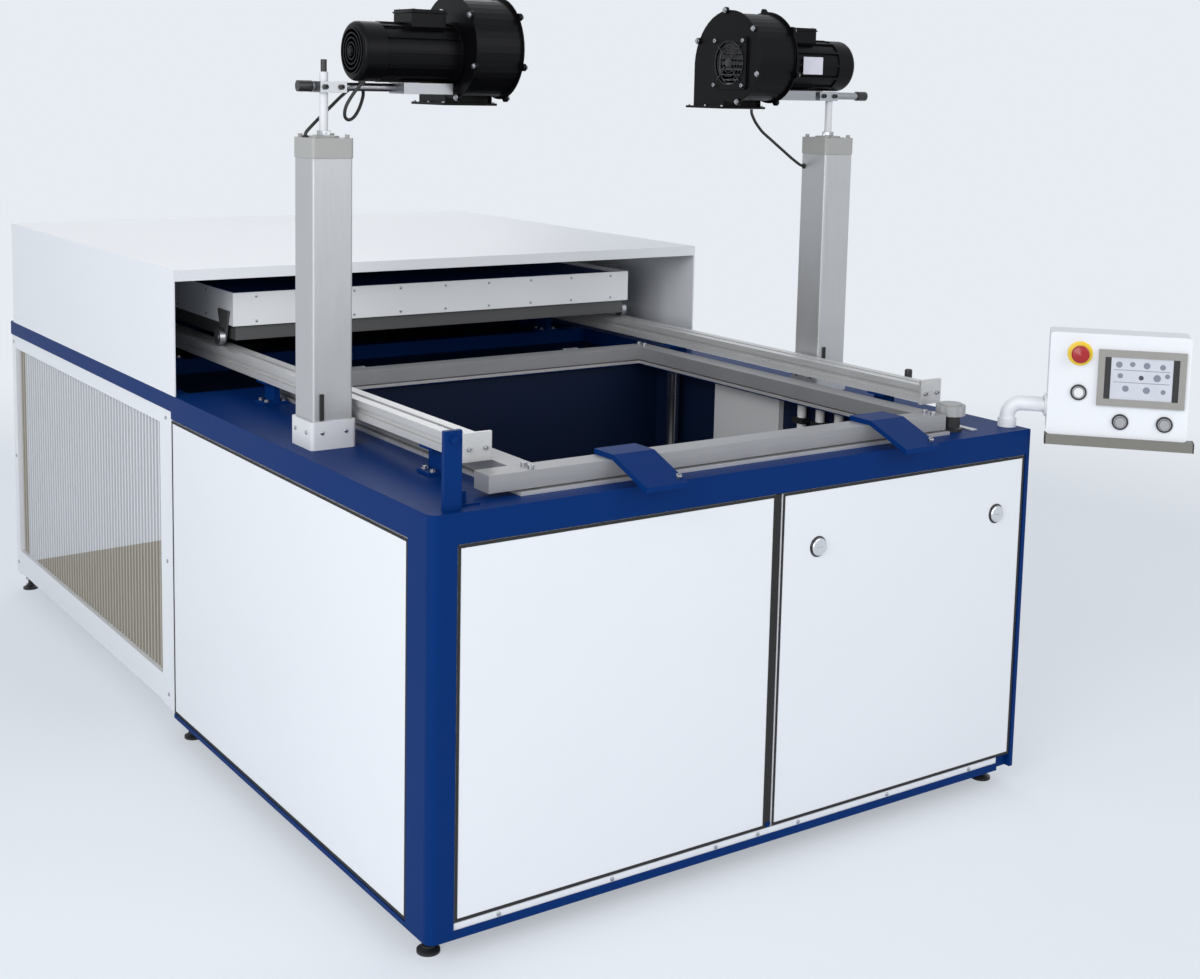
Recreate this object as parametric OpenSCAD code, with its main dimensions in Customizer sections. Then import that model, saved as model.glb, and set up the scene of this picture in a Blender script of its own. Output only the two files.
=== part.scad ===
/* [Cabinet] */
// Width of the deck outside each fan post
deck_margin = 47; // [40:1:60]
// Depth of the deck behind the clamp frame
rear_deck = 102; // [98:1:140]
// Height of the cabinet from the bottom rails to the deck
cab_h = 900; // [880:1:940]
// Height of the bottom rails above the floor, taken up by the levelling feet
foot_h = 50; // [40:1:70]
// Width of the corner posts seen from the front
post_w = 60; // [50:1:64]
// Depth of the corner posts seen from the side
post_d = 98; // [80:1:110]
// Radius of the rounded front left post
corner_r = 22; // [8:1:30]
// Height of the top rails under the deck
rail_h = 59; // [45:1:70]
// Depth of the top rails
rail_d = 50; // [40:1:60]
// Thickness of the deck plate
deck_t = 6; // [4:0.5:8]
// Thickness of the outer panels
panel_t = 12; // [8:0.5:14]
// Width of the slot between the two front panels
panel_gap = 20; // [14:1:30]
// Distance of that slot's middle from the centre of the machine
gap_x = 33; // [0:1:60]
// Thickness of the hood's sheet
hood_t = 4; // [3:0.5:6]
// Height of the hood above the deck
hood_h = 339; // [320:1:400]
// Depth of the deck that the hood covers
hood_lap = 31; // [20:1:40]
// Distance from the parked heater to the rear of the machine
hood_rear = 197; // [180:1:260]
// Distance between the bars of the side guards
bar_pitch = 26; // [22:1:40]

/* [Clamp frame] */
// Width of the aperture in the clamp frame
open_w = 1124; // [1080:1:1140]
// Depth of the aperture in the clamp frame
open_l = 1165; // [1140:1:1170]
// Distance from the front face to the clamp frame's front bar
clamp_y = 60; // [56:1:66]
// Width of the clamp frame's bars
bar_w = 60; // [50:1:60]
// Height of the clamp frame's bars
bar_h = 38; // [30:1:50]
// Thickness of the fixed lower frame on the deck
lower_t = 8; // [6:0.5:10]
// Thickness of the rubber seal under the clamp bars
seal_t = 4; // [3:0.5:6]
// Diameter of the hinge pins behind the clamp frame
hinge_pin_d = 16; // [12:1:20]
// Width of the two blue clamp arms
arm_w = 110; // [90:1:130]
// Distance from the aperture's left edge to the middle of the left arm
arm_left = 219; // [100:1:240]
// Distance from the aperture's right edge to the middle of the right arm
arm_right = 150; // [100:1:240]

/* [Heater] */
// Length of the heater case past each end of the aperture
heater_over = 67.5; // [40:0.5:90]
// Gap between the heater case and the middle of each slide rail
hanger_gap = 3; // [2:0.5:6]
// Height of the white band around the heater case
band_h = 93; // [80:1:110]
// Height of the bright skirt under the band
skirt_h = 41; // [30:1:50]
// Distance from the hood's mouth to the parked heater
heater_in = 87; // [80:1:120]
// Height of the heater band above the deck
heater_z = 165; // [160:1:175]
// Gap between the clamp frame and the slide rails
rail_gap = 17; // [14:1:24]
// Width of the slide rails
slide_w = 64; // [56:1:66]
// Height of the slide rails
slide_h = 45; // [36:1:50]
// Height of the rails' underside above the deck
slide_z = 60; // [50:1:62]
// Radius of the heater's rollers
roller_r = 24; // [20:1:26]
// Number of heating tubes
tube_count = 12; // [6:1:16]

/* [Forming table] */
// Thickness of the forming table's top
platen_t = 14; // [10:1:20]
// Height of the forming table's top above the floor, lowered
platen_z = 620; // [560:1:640]
// Travel of the forming table
platen_lift = 290; // [200:1:300]
// Diameter of the guide columns
column_d = 40; // [30:1:45]
// Diameter of the lift cylinder's rod
rod_d = 50; // [40:1:60]
// Diameter of the lift cylinder
cylinder_d = 110; // [90:1:140]
// Distance between the tooling holes along the width
tool_x = 800; // [600:1:900]
// Distance between the tooling holes along the depth
tool_y = 800; // [600:1:900]
// Diameter of the tooling holes
tool_d = 10; // [8:0.5:12]

/* [Fans] */
// Side of the square fan posts
fan_post_w = 100; // [80:1:104]
// Gap between the slide rails and the fan posts
post_gap = 19; // [16:1:30]
// Distance from the front face to the middle of the fan posts
fan_post_y = 700; // [600:1:800]
// Height of the fan posts above the deck, with their caps
fan_post_h = 720; // [640:1:800]
// Diameter of the vertical rods and of the cross rods
fan_rod_d = 20; // [16:1:24]
// Height of the vertical rods above the caps
fan_rod_h = 145; // [135:1:200]
// Height of the cross rods above the caps
cross_z = 112; // [104:1:120]
// Height of the fan's shaft above its cross rod
fan_rise = 82; // [82:1:110]
// Distance from the left post to its fan's housing
reach_left = 396; // [385:1:430]
// Distance from the right post to its fan's housing
reach_right = 292; // [280:1:330]
// Largest radius of the fan housing
scroll_r = 150; // [140:1:160]
// Width of the fan housing along its shaft
scroll_w = 130; // [110:1:136]
// Radius of the fan wheel
wheel_r = 80; // [70:1:84]
// Number of blades on the fan wheel
blade_count = 28; // [12:1:36]
// Diameter of the fan motor
motor_d = 130; // [110:1:134]
// Length of the fan motor
motor_l = 260; // [230:1:262]

/* [Control panel] */
// Diameter of the arm's tube
arm_d = 38; // [30:1:40]
// Height of the arm's level stretch above the deck
arm_rise = 62; // [58:1:90]
// Direction of the arm, in degrees from the machine's width
arm_turn = -48; // [-80:1:-20]
// Distance from the arm's pivot to the control box
arm_reach = 96; // [80:1:140]
// Width of the control box
box_w = 340; // [320:1:380]
// Height of the control box
box_h = 262; // [250:1:300]
// Depth of the control box
box_d = 90; // [70:1:120]
// Width of the touch screen's frame
screen_w = 210; // [180:1:216]
// Height of the touch screen's frame
screen_h = 142; // [120:1:150]
// Diameter of the emergency stop's yellow plate
stop_d = 60; // [50:1:66]
// Diameter of the small buttons' rings
button_d = 40; // [30:1:44]

/* [Hidden] */

// Widths and depths that follow from the aperture, one after the other outwards
rail_x = open_w / 2 + bar_w + rail_gap + slide_w / 2;
fan_post_x = rail_x + slide_w / 2 + post_gap + fan_post_w / 2;
cab_w = 2 * (fan_post_x + fan_post_w / 2 + deck_margin);
front_len = clamp_y + 2 * bar_w + open_l + rear_deck;
hood_y = front_len - hood_lap;
heater_w = 2 * (rail_x - hanger_gap);
heater_l = open_l + 2 * heater_over;
heater_y = hood_y + heater_in;
total_len = heater_y + heater_l + hood_rear;

// The frame's origin is on the floor under the middle of the whole outline
mid_x = 150;
mid_y = total_len / 2 - 151;

// Clearances: between curved or sliding faces, and in a running fit
still = 0.3;
running = 0.05;

half_w = cab_w / 2;
table_z = foot_h + cab_h;
deck_z = table_z - deck_t;
rail_z = deck_z - rail_h;
panel_in = 2;
frame_in = panel_in + panel_t;
edge_w = 12;
lip_h = 18;
base_h = 30;
kick_h = 15;
kick_z = foot_h + lip_h;
base_top = foot_h + base_h;
front_panel_top = rail_z - 2;
mid_post_w = 40;
open_y = clamp_y + bar_w;
rear_bar_y = open_y + open_l;
deck_open_w = open_w + 20;
deck_open_y = open_y - 10;
deck_open_l = open_l + 20;
clamp_z = table_z + lower_t + seal_t;
clamp_top = clamp_z + bar_h;
slide_bottom = table_z + slide_z;
slide_top = slide_bottom + slide_h;
band_z = table_z + heater_z;
rear_rail_z = table_z - 45;
blue = "#1f4f9e";
dark_blue = "#14306b";
white = "#f2f3f5";
grey = "#c4c6c8";
steel = "#8f9397";
black = "#1b1c1f";

module placed() translate([-mid_x, -mid_y, 0]) children();
module block(lo, hi) translate(lo) cube(hi - lo);
module both_sides() {
    children();
    mirror([1, 0, 0]) children();
}

// Points of an arc about a centre, from one angle to another
function arc(c, r, a0, a1, n = 6) =
    [for (i = [0 : n]) c + r * [cos(a0 + (a1 - a0) * i / n), sin(a0 + (a1 - a0) * i / n)]];
// Outline of a rectangle with round corners
function round_box(w, h, r, n = 4) = concat(
    arc([w / 2 - r, h / 2 - r], r, 0, 90, n), arc([-w / 2 + r, h / 2 - r], r, 90, 180, n),
    arc([-w / 2 + r, -h / 2 + r], r, 180, 270, n), arc([w / 2 - r, -h / 2 + r], r, 270, 360, n));
module along_x(x0, x1) translate([x0, 0, 0]) rotate([90, 0, 90]) linear_extrude(x1 - x0) children();
module along_y(y0, y1) translate([0, y1, 0]) rotate([90, 0, 0]) linear_extrude(y1 - y0) children();
module rod_x(x0, x1, y, z, d) translate([x0, y, z]) rotate([0, 90, 0]) cylinder(h = x1 - x0, d = d, $fn = 48);
module rod_y(y0, y1, x, z, d) translate([x, y1, z]) rotate([90, 0, 0]) cylinder(h = y1 - y0, d = d, $fn = 48);
module rod_z(z0, z1, x, y, d) translate([x, y, z0]) cylinder(h = z1 - z0, d = d, $fn = 48);

// Front cabinet frame: posts, rails and the rails that carry the hood
door_pin_d = 6;
door_pin_y = panel_in + panel_t / 2;
door_pin_z = kick_z + kick_h + 8;
door_x0 = gap_x + panel_gap / 2;
door_x1 = half_w - edge_w - 4;
beam_ys = [open_y + 120, open_y + open_l / 2, rear_bar_y - 120];
hood_beam_ys = [total_len - 1000, total_len - 160];

module front_frame() color(blue) placed() {
    translate([0, 0, foot_h]) linear_extrude(deck_z - foot_h) polygon(concat(
        arc([-half_w + corner_r, corner_r], corner_r, 180, 270),
        [[-half_w + post_w, 0], [-half_w + post_w, frame_in], [-half_w + post_w + 24, frame_in],
        [-half_w + post_w + 24, frame_in + 6], [-half_w + post_w, frame_in + 6],
        [-half_w + post_w, post_d], [-half_w, post_d]]));
    translate([0, 0, foot_h]) linear_extrude(deck_z - foot_h) polygon(
        [[half_w - edge_w, 0], [half_w, 0], [half_w, post_d], [half_w - post_w, post_d],
        [half_w - post_w, frame_in + 2], [half_w - edge_w, frame_in + 2]]);
    both_sides() {
        block([half_w - post_w, front_len - post_w, foot_h], [half_w - frame_in, front_len, deck_z]);
        block([half_w - rail_d, post_d, rail_z], [half_w, front_len - post_w, deck_z]);
        block([half_w - rail_d, front_len, rear_rail_z], [half_w, total_len, table_z]);
        block([half_w - frame_in, front_len - post_w, rail_z], [half_w, front_len, deck_z]);
        side_sill();
    }
    front_sill();
    block([-half_w + post_w, 0, rail_z], [half_w - post_w, rail_d, deck_z]);
    block([half_w - post_w, 0, rail_z], [half_w - edge_w, frame_in + 2, deck_z]);
    block([-half_w + post_w, front_len - rail_d, rail_z], [half_w - post_w, front_len, deck_z]);
    block([gap_x - mid_post_w / 2, frame_in, base_top], [gap_x, rail_d + 10, rail_z]);
    block([gap_x, frame_in + 2, base_top], [gap_x + mid_post_w / 2, rail_d + 10, rail_z]);
    block([gap_x - 6, door_pin_y - 5, door_pin_z - 6], [gap_x + 6, frame_in + 2, door_pin_z + 6]);
    for (x = [latch_x0, latch_x1])
        block([x - 30, frame_in + 1, foot_h + latch_z + 22], [x + 30, frame_in + 4, rail_z]);
    rod_x(gap_x + 6, door_x0 + 16, door_pin_y, door_pin_z, door_pin_d);
    rod_x(door_x1 - 16, half_w - edge_w, door_pin_y, door_pin_z, door_pin_d);
    for (y = beam_ys) block([-half_w + post_w, y - 20, foot_h], [half_w - post_w, y + 20, base_top]);
    for (y = hood_beam_ys)
        block([-half_w + rail_d, y - 25, rear_rail_z], [half_w - rail_d, y + 25, table_z]);
    block([-half_w + rail_d, total_len - 40, rear_rail_z], [half_w - rail_d, total_len, table_z]);
}

// Sill under the front panels, with the lip that shows below them
module front_sill() along_x(-half_w + post_w, half_w - post_w) polygon(
    [[0, foot_h], [post_w, foot_h], [post_w, base_top], [frame_in, base_top],
    [frame_in, kick_z], [0, kick_z]]);
module side_sill() along_y(post_d, front_len) polygon(
    [[half_w, foot_h], [half_w - post_w, foot_h], [half_w - post_w, base_top],
    [half_w - frame_in, base_top], [half_w - frame_in, foot_h + 12], [half_w, foot_h + 12]]);

// Deck plate, in four pieces around the forming well
module table_deck() color(blue) placed() translate([0, 0, deck_z]) {
    linear_extrude(deck_t) polygon(concat(
        arc([-half_w + corner_r, corner_r], corner_r, 180, 270),
        [[half_w, 0], [half_w, deck_open_y], [-half_w, deck_open_y]]));
    translate([-half_w, deck_open_y + deck_open_l, 0])
        cube([cab_w, front_len - deck_open_y - deck_open_l, deck_t]);
    both_sides() translate([deck_open_w / 2, deck_open_y, 0])
        cube([half_w - deck_open_w / 2, deck_open_l, deck_t]);
}

// White frame of the rear section
guard_y0 = front_len + 97;
guard_y1 = total_len - 39;
guard_z0 = foot_h + 96;
guard_z1 = rear_rail_z - 45;
rear_in = 4;
tray_z = foot_h + 20;

module rear_frame() color(white) placed() {
    both_sides() {
        block([half_w - 50, front_len, foot_h + 12], [half_w - rear_in, guard_y0, rear_rail_z]);
        block([half_w - 50, guard_y1, foot_h + 12], [half_w - rear_in, total_len, rear_rail_z]);
        block([half_w - 50, guard_y0, foot_h + 18], [half_w - rear_in, guard_y1, guard_z0]);
        block([half_w - 50, guard_y0, guard_z1], [half_w - rear_in, guard_y1, rear_rail_z]);
    }
    block([-half_w + 50, total_len - 50, foot_h + 12], [half_w - 50, total_len - panel_t, tray_z]);
    block([-half_w + 50, front_len, tray_z], [half_w - 50, total_len - panel_t, tray_z + 6]);
}

// Upright bars between the rails of the rear frame's side windows
module guard() {
    bars = floor((guard_y1 - guard_y0) / bar_pitch);
    first = (guard_y1 - guard_y0 - (bars - 1) * bar_pitch) / 2;
    for (i = [0 : bars - 1])
        translate([half_w - 24, guard_y0 + first + i * bar_pitch - 5, guard_z0])
            cube([8, 10, guard_z1 - guard_z0]);
}
module side_guard_left() color("#cfc8b4") placed() mirror([1, 0, 0]) guard();
module side_guard_right() color("#cfc8b4") placed() guard();

// Side panels of the front section, and the rear panel with its cable gland
gland_x = 600;
gland_z = 240;
gland_d = 20;

module body_panels() color(white) placed() {
    both_sides()
        block([half_w - frame_in, post_d + 2, foot_h + 14], [half_w - panel_in, front_len, rail_z - 4]);
    difference() {
        union() {
            block([-half_w + 50, total_len - panel_t, foot_h + 12], [half_w - 50, total_len - 2, rear_rail_z]);
            rod_y(total_len - 2, total_len + 12, gland_x, gland_z, gland_d + 14);
        }
        rod_y(total_len - panel_t - 1, total_len + 13, gland_x, gland_z, gland_d);
    }
}

// Fixed left front panel, and the bright flange under both front panels
module front_panel() color(white) placed() {
    block([-half_w + post_w + 2, panel_in, kick_z + kick_h + 3],
        [gap_x - panel_gap / 2, frame_in, front_panel_top]);
    block([-half_w + post_w + 2, panel_in + 2, kick_z], [half_w - post_w, frame_in, kick_z + kick_h]);
}

// Right front panel, which tilts forward on two pins in its lower corners
latch_z = 743 - foot_h;
latch_x0 = door_x0 + 113;
latch_x1 = door_x1 - 97;
latch_hole_d = 16;

module front_door() color(white) placed() difference() {
    block([door_x0, panel_in, kick_z + kick_h + 3], [door_x1, frame_in, front_panel_top]);
    rod_x(door_x0 - 1, door_x0 + 17, door_pin_y, door_pin_z, door_pin_d + 2 * running);
    rod_x(door_x1 - 17, door_x1 + 1, door_pin_y, door_pin_z, door_pin_d + 2 * running);
    for (x = [latch_x0, latch_x1])
        rod_y(panel_in - 1, frame_in + 1, x, foot_h + latch_z, latch_hole_d + 2 * running);
}

// Quarter-turn latch: slotted round head, shaft, and a cam behind the panel
module latch(x) color("#b9bcc0") placed() translate([x, 0, foot_h + latch_z]) {
    difference() {
        rotate([90, 0, 0]) rotate_extrude($fn = 64) polygon(concat(
            [[0, -frame_in - 8], [latch_hole_d / 2, -frame_in - 8], [latch_hole_d / 2, -panel_in + still]],
            [[21, -panel_in + still]], arc([18, 3], 3, 0, 90, 4), [[0, 6]]));
        translate([-12, -7, -1.5]) cube([24, 3, 3]);
    }
    translate([0, frame_in + 10, 0]) rotate([90, 0, 0]) linear_extrude(5)
        polygon(concat(arc([0, 0], 11, 90, 270, 8), [[38, -9]], arc([38, 0], 9, -60, 60, 6), [[38, 9]]));
}
module door_latch_left() latch(latch_x0);
module door_latch_right() latch(latch_x1);

// Feet: threaded stem, lock nut and pad
foot_x = half_w - 40;
foot_ys = [70, front_len - 40, total_len - 24];

module levelling_feet() color(black) placed() both_sides() for (y = foot_ys) translate([foot_x, y, 0]) {
    rotate_extrude($fn = 48) polygon([[0, 0], [25, 0], [25, 6], [14, 12], [14, 16], [0, 16]]);
    translate([0, 0, 16]) cylinder(h = (y > front_len ? foot_h + 12 : foot_h) - 16, d = 16, $fn = 32);
}

// Hood over the parked heater, open at the front and below
module heater_hood() color(white) placed() {
    hood_z0 = table_z;
    hood_z1 = table_z + hood_h;
    hood_rear = total_len - 36;
    both_sides() block([half_w - hood_t, hood_y, hood_z0], [half_w, hood_rear - hood_t, hood_z1 - hood_t]);
    block([-half_w, hood_rear - hood_t, hood_z0], [half_w, hood_rear, hood_z1 - hood_t]);
    block([-half_w, hood_y, hood_z1 - hood_t], [half_w, hood_rear, hood_z1]);
    block([-half_w + hood_t, hood_y, hood_z1 - 30], [half_w - hood_t, hood_y + hood_t, hood_z1 - hood_t]);
}

// Slide rails: aluminium section with side grooves and a bolt slot
rail_y0 = 170;
rail_y1 = total_len - 120;
function slide_outline(w, h) = [
    [-w / 2, 0], [w / 2, 0], [w / 2, h * 0.36], [w / 2 - 8, h * 0.36], [w / 2 - 8, h * 0.64],
    [w / 2, h * 0.64], [w / 2, h], [6, h], [6, h - 9], [-6, h - 9], [-6, h], [-w / 2, h],
    [-w / 2, h * 0.64], [-w / 2 + 8, h * 0.64], [-w / 2 + 8, h * 0.36], [-w / 2, h * 0.36]];

module heater_rails() color(grey) placed() both_sides() {
    translate([rail_x, 0, slide_bottom]) along_y(rail_y0, rail_y1) polygon(slide_outline(slide_w, slide_h));
    block([rail_x - slide_w / 2 - 3, rail_y0 - 8, slide_bottom - 4],
        [rail_x + slide_w / 2 + 3, rail_y0, slide_top + 14]);
}

// Brackets that carry the rails, and the block under the rail's clamp knob
bracket_ys = [330, 1230];
knob_y = 300;
knob_x = rail_x + slide_w / 2 + 24;
knob_pin_d = 10;

module rail_brackets() color(blue) placed() {
    both_sides() {
        for (y = bracket_ys) bracket(y, table_z);
        for (y = hood_beam_ys) bracket(y, table_z);
    }
    difference() {
        block([rail_x + slide_w / 2, knob_y - 20, slide_bottom + 2],
            [knob_x + 18, knob_y + 20, slide_bottom + 20]);
        rod_z(slide_bottom, slide_bottom + 22, knob_x, knob_y, knob_pin_d + 2 * running);
    }
}
module bracket(y, z0) translate([0, y, 0]) along_y(-30, 30) polygon([
    [rail_x - slide_w / 2, z0], [rail_x + slide_w / 2 + 6, z0], [rail_x + slide_w / 2 + 6, z0 + 6],
    [rail_x + 8, z0 + 6], [rail_x + 8, slide_bottom - 6], [rail_x + slide_w / 2, slide_bottom - 6],
    [rail_x + slide_w / 2, slide_bottom], [rail_x - slide_w / 2, slide_bottom],
    [rail_x - slide_w / 2, slide_bottom - 6], [rail_x - 8, slide_bottom - 6], [rail_x - 8, z0 + 6],
    [rail_x - slide_w / 2, z0 + 6]]);

module rail_knob() color(black) placed() translate([knob_x, knob_y, slide_bottom]) {
    translate([0, 0, 4]) cylinder(h = 24, d = knob_pin_d, $fn = 32);
    translate([0, 0, 20 + still]) rotate_extrude($fn = 48) polygon(
        concat([[0, 0], [8, 0], [8, 6]], [[10, 8], [10, 34]], arc([6, 36], 4, 0, 90, 3), [[0, 40]]));
}

// Fixed lower frame around the aperture, with the cover plate right of it
module lower_frame() color(grey) placed() translate([0, 0, table_z]) {
    w = open_w / 2;
    front = clamp_y - 8;
    rear = rear_bar_y + bar_w + 8;
    translate([-w - bar_w - 8, front, 0]) cube([open_w + 2 * bar_w + 16, open_y - front, lower_t]);
    translate([-w - bar_w - 8, rear_bar_y, 0]) cube([open_w + 2 * bar_w + 16, rear - rear_bar_y, lower_t]);
    both_sides() translate([w, open_y, 0]) cube([bar_w + 8, open_l, lower_t]);
    translate([rail_x + slide_w / 2 + 10, 56, 0]) cube([20, 180, 3]);
}

// Walls of the well that the forming table moves in
wall_t = 4;
well_x = open_w / 2 + 90;
well_z = platen_z - 120;
module well_walls() color(dark_blue) placed() {
    y0 = rail_d + 30;
    y1 = rear_bar_y + 20;
    block([-well_x, y0 - wall_t, well_z], [well_x, y0, deck_z]);
    block([-well_x, y1, well_z], [well_x, y1 + wall_t, deck_z]);
    both_sides() block([well_x - wall_t, y0, well_z], [well_x, y1, deck_z]);
}

// Plate under the parked heater, which keeps its heat out of the rear bay
module heat_shield() color(dark_blue) placed()
    block([-half_w + 50, front_len, rear_rail_z - 3], [half_w - 50, total_len - 50, rear_rail_z]);

// Guide columns on flanges, and the light cover on the well's right wall
column_x = open_w / 2 + 42;
cover_l = 290;
column_ys = [open_y + 120, rear_bar_y - 120];
module guide_columns() color("#d6d8da") placed() {
    both_sides() for (y = column_ys) {
        rod_z(base_top, deck_z, column_x, y, column_d);
        difference() {
            rod_z(base_top, base_top + 16, column_x, y, column_d + 50);
            rod_z(base_top - 1, base_top + 17, column_x, y, column_d);
        }
    }
    block([well_x - 22, mid_platen_y, well_z + 60],
        [well_x - wall_t - still, mid_platen_y + cover_l, deck_z - still]);
}

// Lift cylinder under the forming table
mid_platen_y = open_y + open_l / 2;
cylinder_top = platen_z - 130;
module lift_cylinder() color(steel) placed() translate([0, mid_platen_y, 0]) difference() {
    flange_r = 0.82 * cylinder_d;
    rotate_extrude($fn = 64) polygon([[0, base_top], [flange_r, base_top], [flange_r, base_top + 14],
        [cylinder_d / 2 + 6, base_top + 14], [cylinder_d / 2 + 6, base_top + 40],
        [cylinder_d / 2, base_top + 44], [cylinder_d / 2, cylinder_top - 34],
        [cylinder_d / 2 + 6, cylinder_top - 30], [cylinder_d / 2 + 6, cylinder_top - 4],
        [cylinder_d / 2 + 2, cylinder_top], [0, cylinder_top]]);
    translate([0, 0, base_top + 30]) cylinder(h = cylinder_top, d = rod_d + 2 * running, $fn = 64);
}

// Vacuum pump with its cooling ribs, and the tank beside it
bay_z = tray_z + 6;
unit_y = total_len - 700;
pump_x = -0.24 * cab_w;
pump_r = 0.058 * cab_w;
pump_l = 0.2 * cab_w;
pump_z = pump_r + 30;
tank_x = 0.175 * cab_w;
tank_r = 0.115 * cab_w;
tank_h = 0.75 * cab_h;
tank_round = 60;
module vacuum_unit() color("#5b6570") placed() {
    translate([pump_x, unit_y, bay_z]) {
        translate([-pump_r - 10, -pump_l / 2 - 10, 0]) cube([2 * pump_r + 20, pump_l + 20, 20]);
        translate([0, -pump_l / 2, pump_z]) rotate([-90, 0, 0]) cylinder(h = pump_l, r = pump_r, $fn = 48);
        for (i = [0 : 9]) translate([0, (i - 5) * pump_l / 11, pump_z]) rotate([-90, 0, 0])
            cylinder(h = 8, r = pump_r + 12, $fn = 48);
        translate([-60, -60, 20]) cube([120, 120, 40]);
    }
    translate([tank_x, unit_y, bay_z]) {
        rotate_extrude($fn = 64) polygon(concat([[0, 60], [tank_r - 80, 60]],
            arc([tank_r - tank_round, 60 + tank_round], tank_round, -90, 0, 5),
            arc([tank_r - tank_round, tank_h - tank_round], tank_round, 0, 90, 5), [[0, tank_h]]));
        for (a = [0 : 90 : 270]) rotate([0, 0, a + 45]) translate([0.75 * tank_r, -20, 0]) cube([12, 40, 64]);
    }
}

// Electrical cabinet behind the rear panel, with its door
switch_x = -0.15 * cab_w;
switch_w = 0.18 * cab_w;
switch_l = 0.107 * total_len;
switch_top = 0.86 * cab_h;
module electrical_cabinet() color("#b9bcc0") placed() {
    y = total_len - 60 - switch_l;
    block([switch_x, y, bay_z], [switch_x + switch_w, y + switch_l, switch_top]);
    block([switch_x + 10, y - 8, bay_z + 40], [switch_x + switch_w - 10, y, switch_top - 10]);
}

// Fan posts: square aluminium tubes with rounded edges and a round bore
module fan_posts() color("#d3d5d7") placed() both_sides() translate([fan_post_x, fan_post_y, table_z + 8])
    linear_extrude(fan_post_h - 8 - 50) difference() {
        polygon(round_box(fan_post_w, fan_post_w, 6));
        circle(d = fan_post_w * 0.5, $fn = 48);
    }

// Post feet and caps, and the vertical rods, of which the left one is longer and has a black tip
module post_fittings() color(white) placed() {
    both_sides() translate([fan_post_x, fan_post_y, table_z]) {
        linear_extrude(8) polygon(round_box(fan_post_w + 14, fan_post_w + 14, 9));
        translate([0, 0, 8]) linear_extrude(58) difference() {
            polygon(round_box(fan_post_w + 14, fan_post_w + 14, 9));
            polygon(round_box(fan_post_w + 2 * still, fan_post_w + 2 * still, 6 + still));
        }
        translate([0, 0, fan_post_h - 50]) linear_extrude(46)
            polygon(round_box(fan_post_w + 4, fan_post_w + 4, 8));
        translate([0, 0, fan_post_h - 4]) cylinder(h = 4, d = 70, $fn = 48);
        for (x = [-1, 1], y = [-1, 1])
            translate([x * (fan_post_w / 2 - 10), y * (fan_post_w / 2 - 10), fan_post_h - 4])
                cylinder(h = 8, d = 12, $fn = 6);
        translate([0, 0, fan_post_h]) cylinder(h = cross_z + 8, d = fan_rod_d, $fn = 48);
    }
    rod_top = table_z + fan_post_h + fan_rod_h;
    rod_z(table_z + fan_post_h, rod_top, -fan_post_x, fan_post_y, fan_rod_d);
    rod_z(rod_top, rod_top + 28, -fan_post_x, fan_post_y, fan_rod_d - 6);
}

// Blue upright and its bolts beside the left rail's end
upright_x = -half_w + 39;
upright_w = 40;
module corner_upright() color(blue) placed() {
    block([upright_x, 19, table_z], [upright_x + upright_w, 31, table_z + 163]);
    rod_y(13, 19, upright_x + upright_w / 2, table_z + 145, 16);
    block([upright_x + upright_w, 40, table_z], [upright_x + 95, 48, table_z + 4]);
    rod_z(table_z, table_z + 26, upright_x + 68, 64, 14);
    rod_z(table_z, table_z + 20, upright_x + upright_w, 74, 14);
}

// Collar that the control arm turns in
pivot_x = half_w - 25;
pivot_y = 58;
module arm_base() color(white) placed() difference() {
    rod_z(table_z, table_z + 22, pivot_x, pivot_y, arm_d + 9);
    rod_z(table_z - 1, table_z + 23, pivot_x, pivot_y, arm_d + 2 * running);
}

// Pressure regulator at the right front corner
reg_x = rail_x;
reg_y = 92;
module regulator_body() color(black) placed() translate([reg_x, reg_y, table_z]) difference() {
    rotate_extrude($fn = 64) polygon([[0, 0], [30, 0], [30, 6], [25, 10], [25, 40], [0, 40]]);
    translate([0, 0, 20]) cylinder(h = 30, d = 12 + 2 * running, $fn = 32);
}
module regulator_knob() color("#8a8782") placed() translate([reg_x, reg_y, table_z + 40 + still]) {
    linear_extrude(26)
        polygon([for (i = [0 : 47]) (36 + (i % 4 < 2 ? 1.5 : 0)) * [cos(i * 7.5), sin(i * 7.5)]]);
    translate([0, 0, -18]) cylinder(h = 20, d = 12, $fn = 32);
    translate([0, 0, 26]) cylinder(h = 4, d = 56, $fn = 48);
}

// Hinges behind the clamp frame: two ears and a pin on each side
hinge_y = rear_bar_y + bar_w + 26;
hinge_z = clamp_z + 24;
hinge_x = 360;
module clamp_hinges() color(steel) placed() both_sides() translate([hinge_x, hinge_y, 0]) {
    for (x = [-26, 16]) difference() {
        translate([x, 0, 0]) rotate([90, 0, 90]) linear_extrude(10) polygon(concat(
            [[-16, table_z + lower_t], [18, table_z + lower_t]], arc([0, hinge_z], 14, 0, 180, 8)));
        translate([x - 1, 0, hinge_z]) rotate([0, 90, 0]) cylinder(h = 12, d = hinge_pin_d, $fn = 32);
    }
    translate([-30, 0, hinge_z]) rotate([0, 90, 0]) cylinder(h = 60, d = hinge_pin_d, $fn = 32);
}

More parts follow.
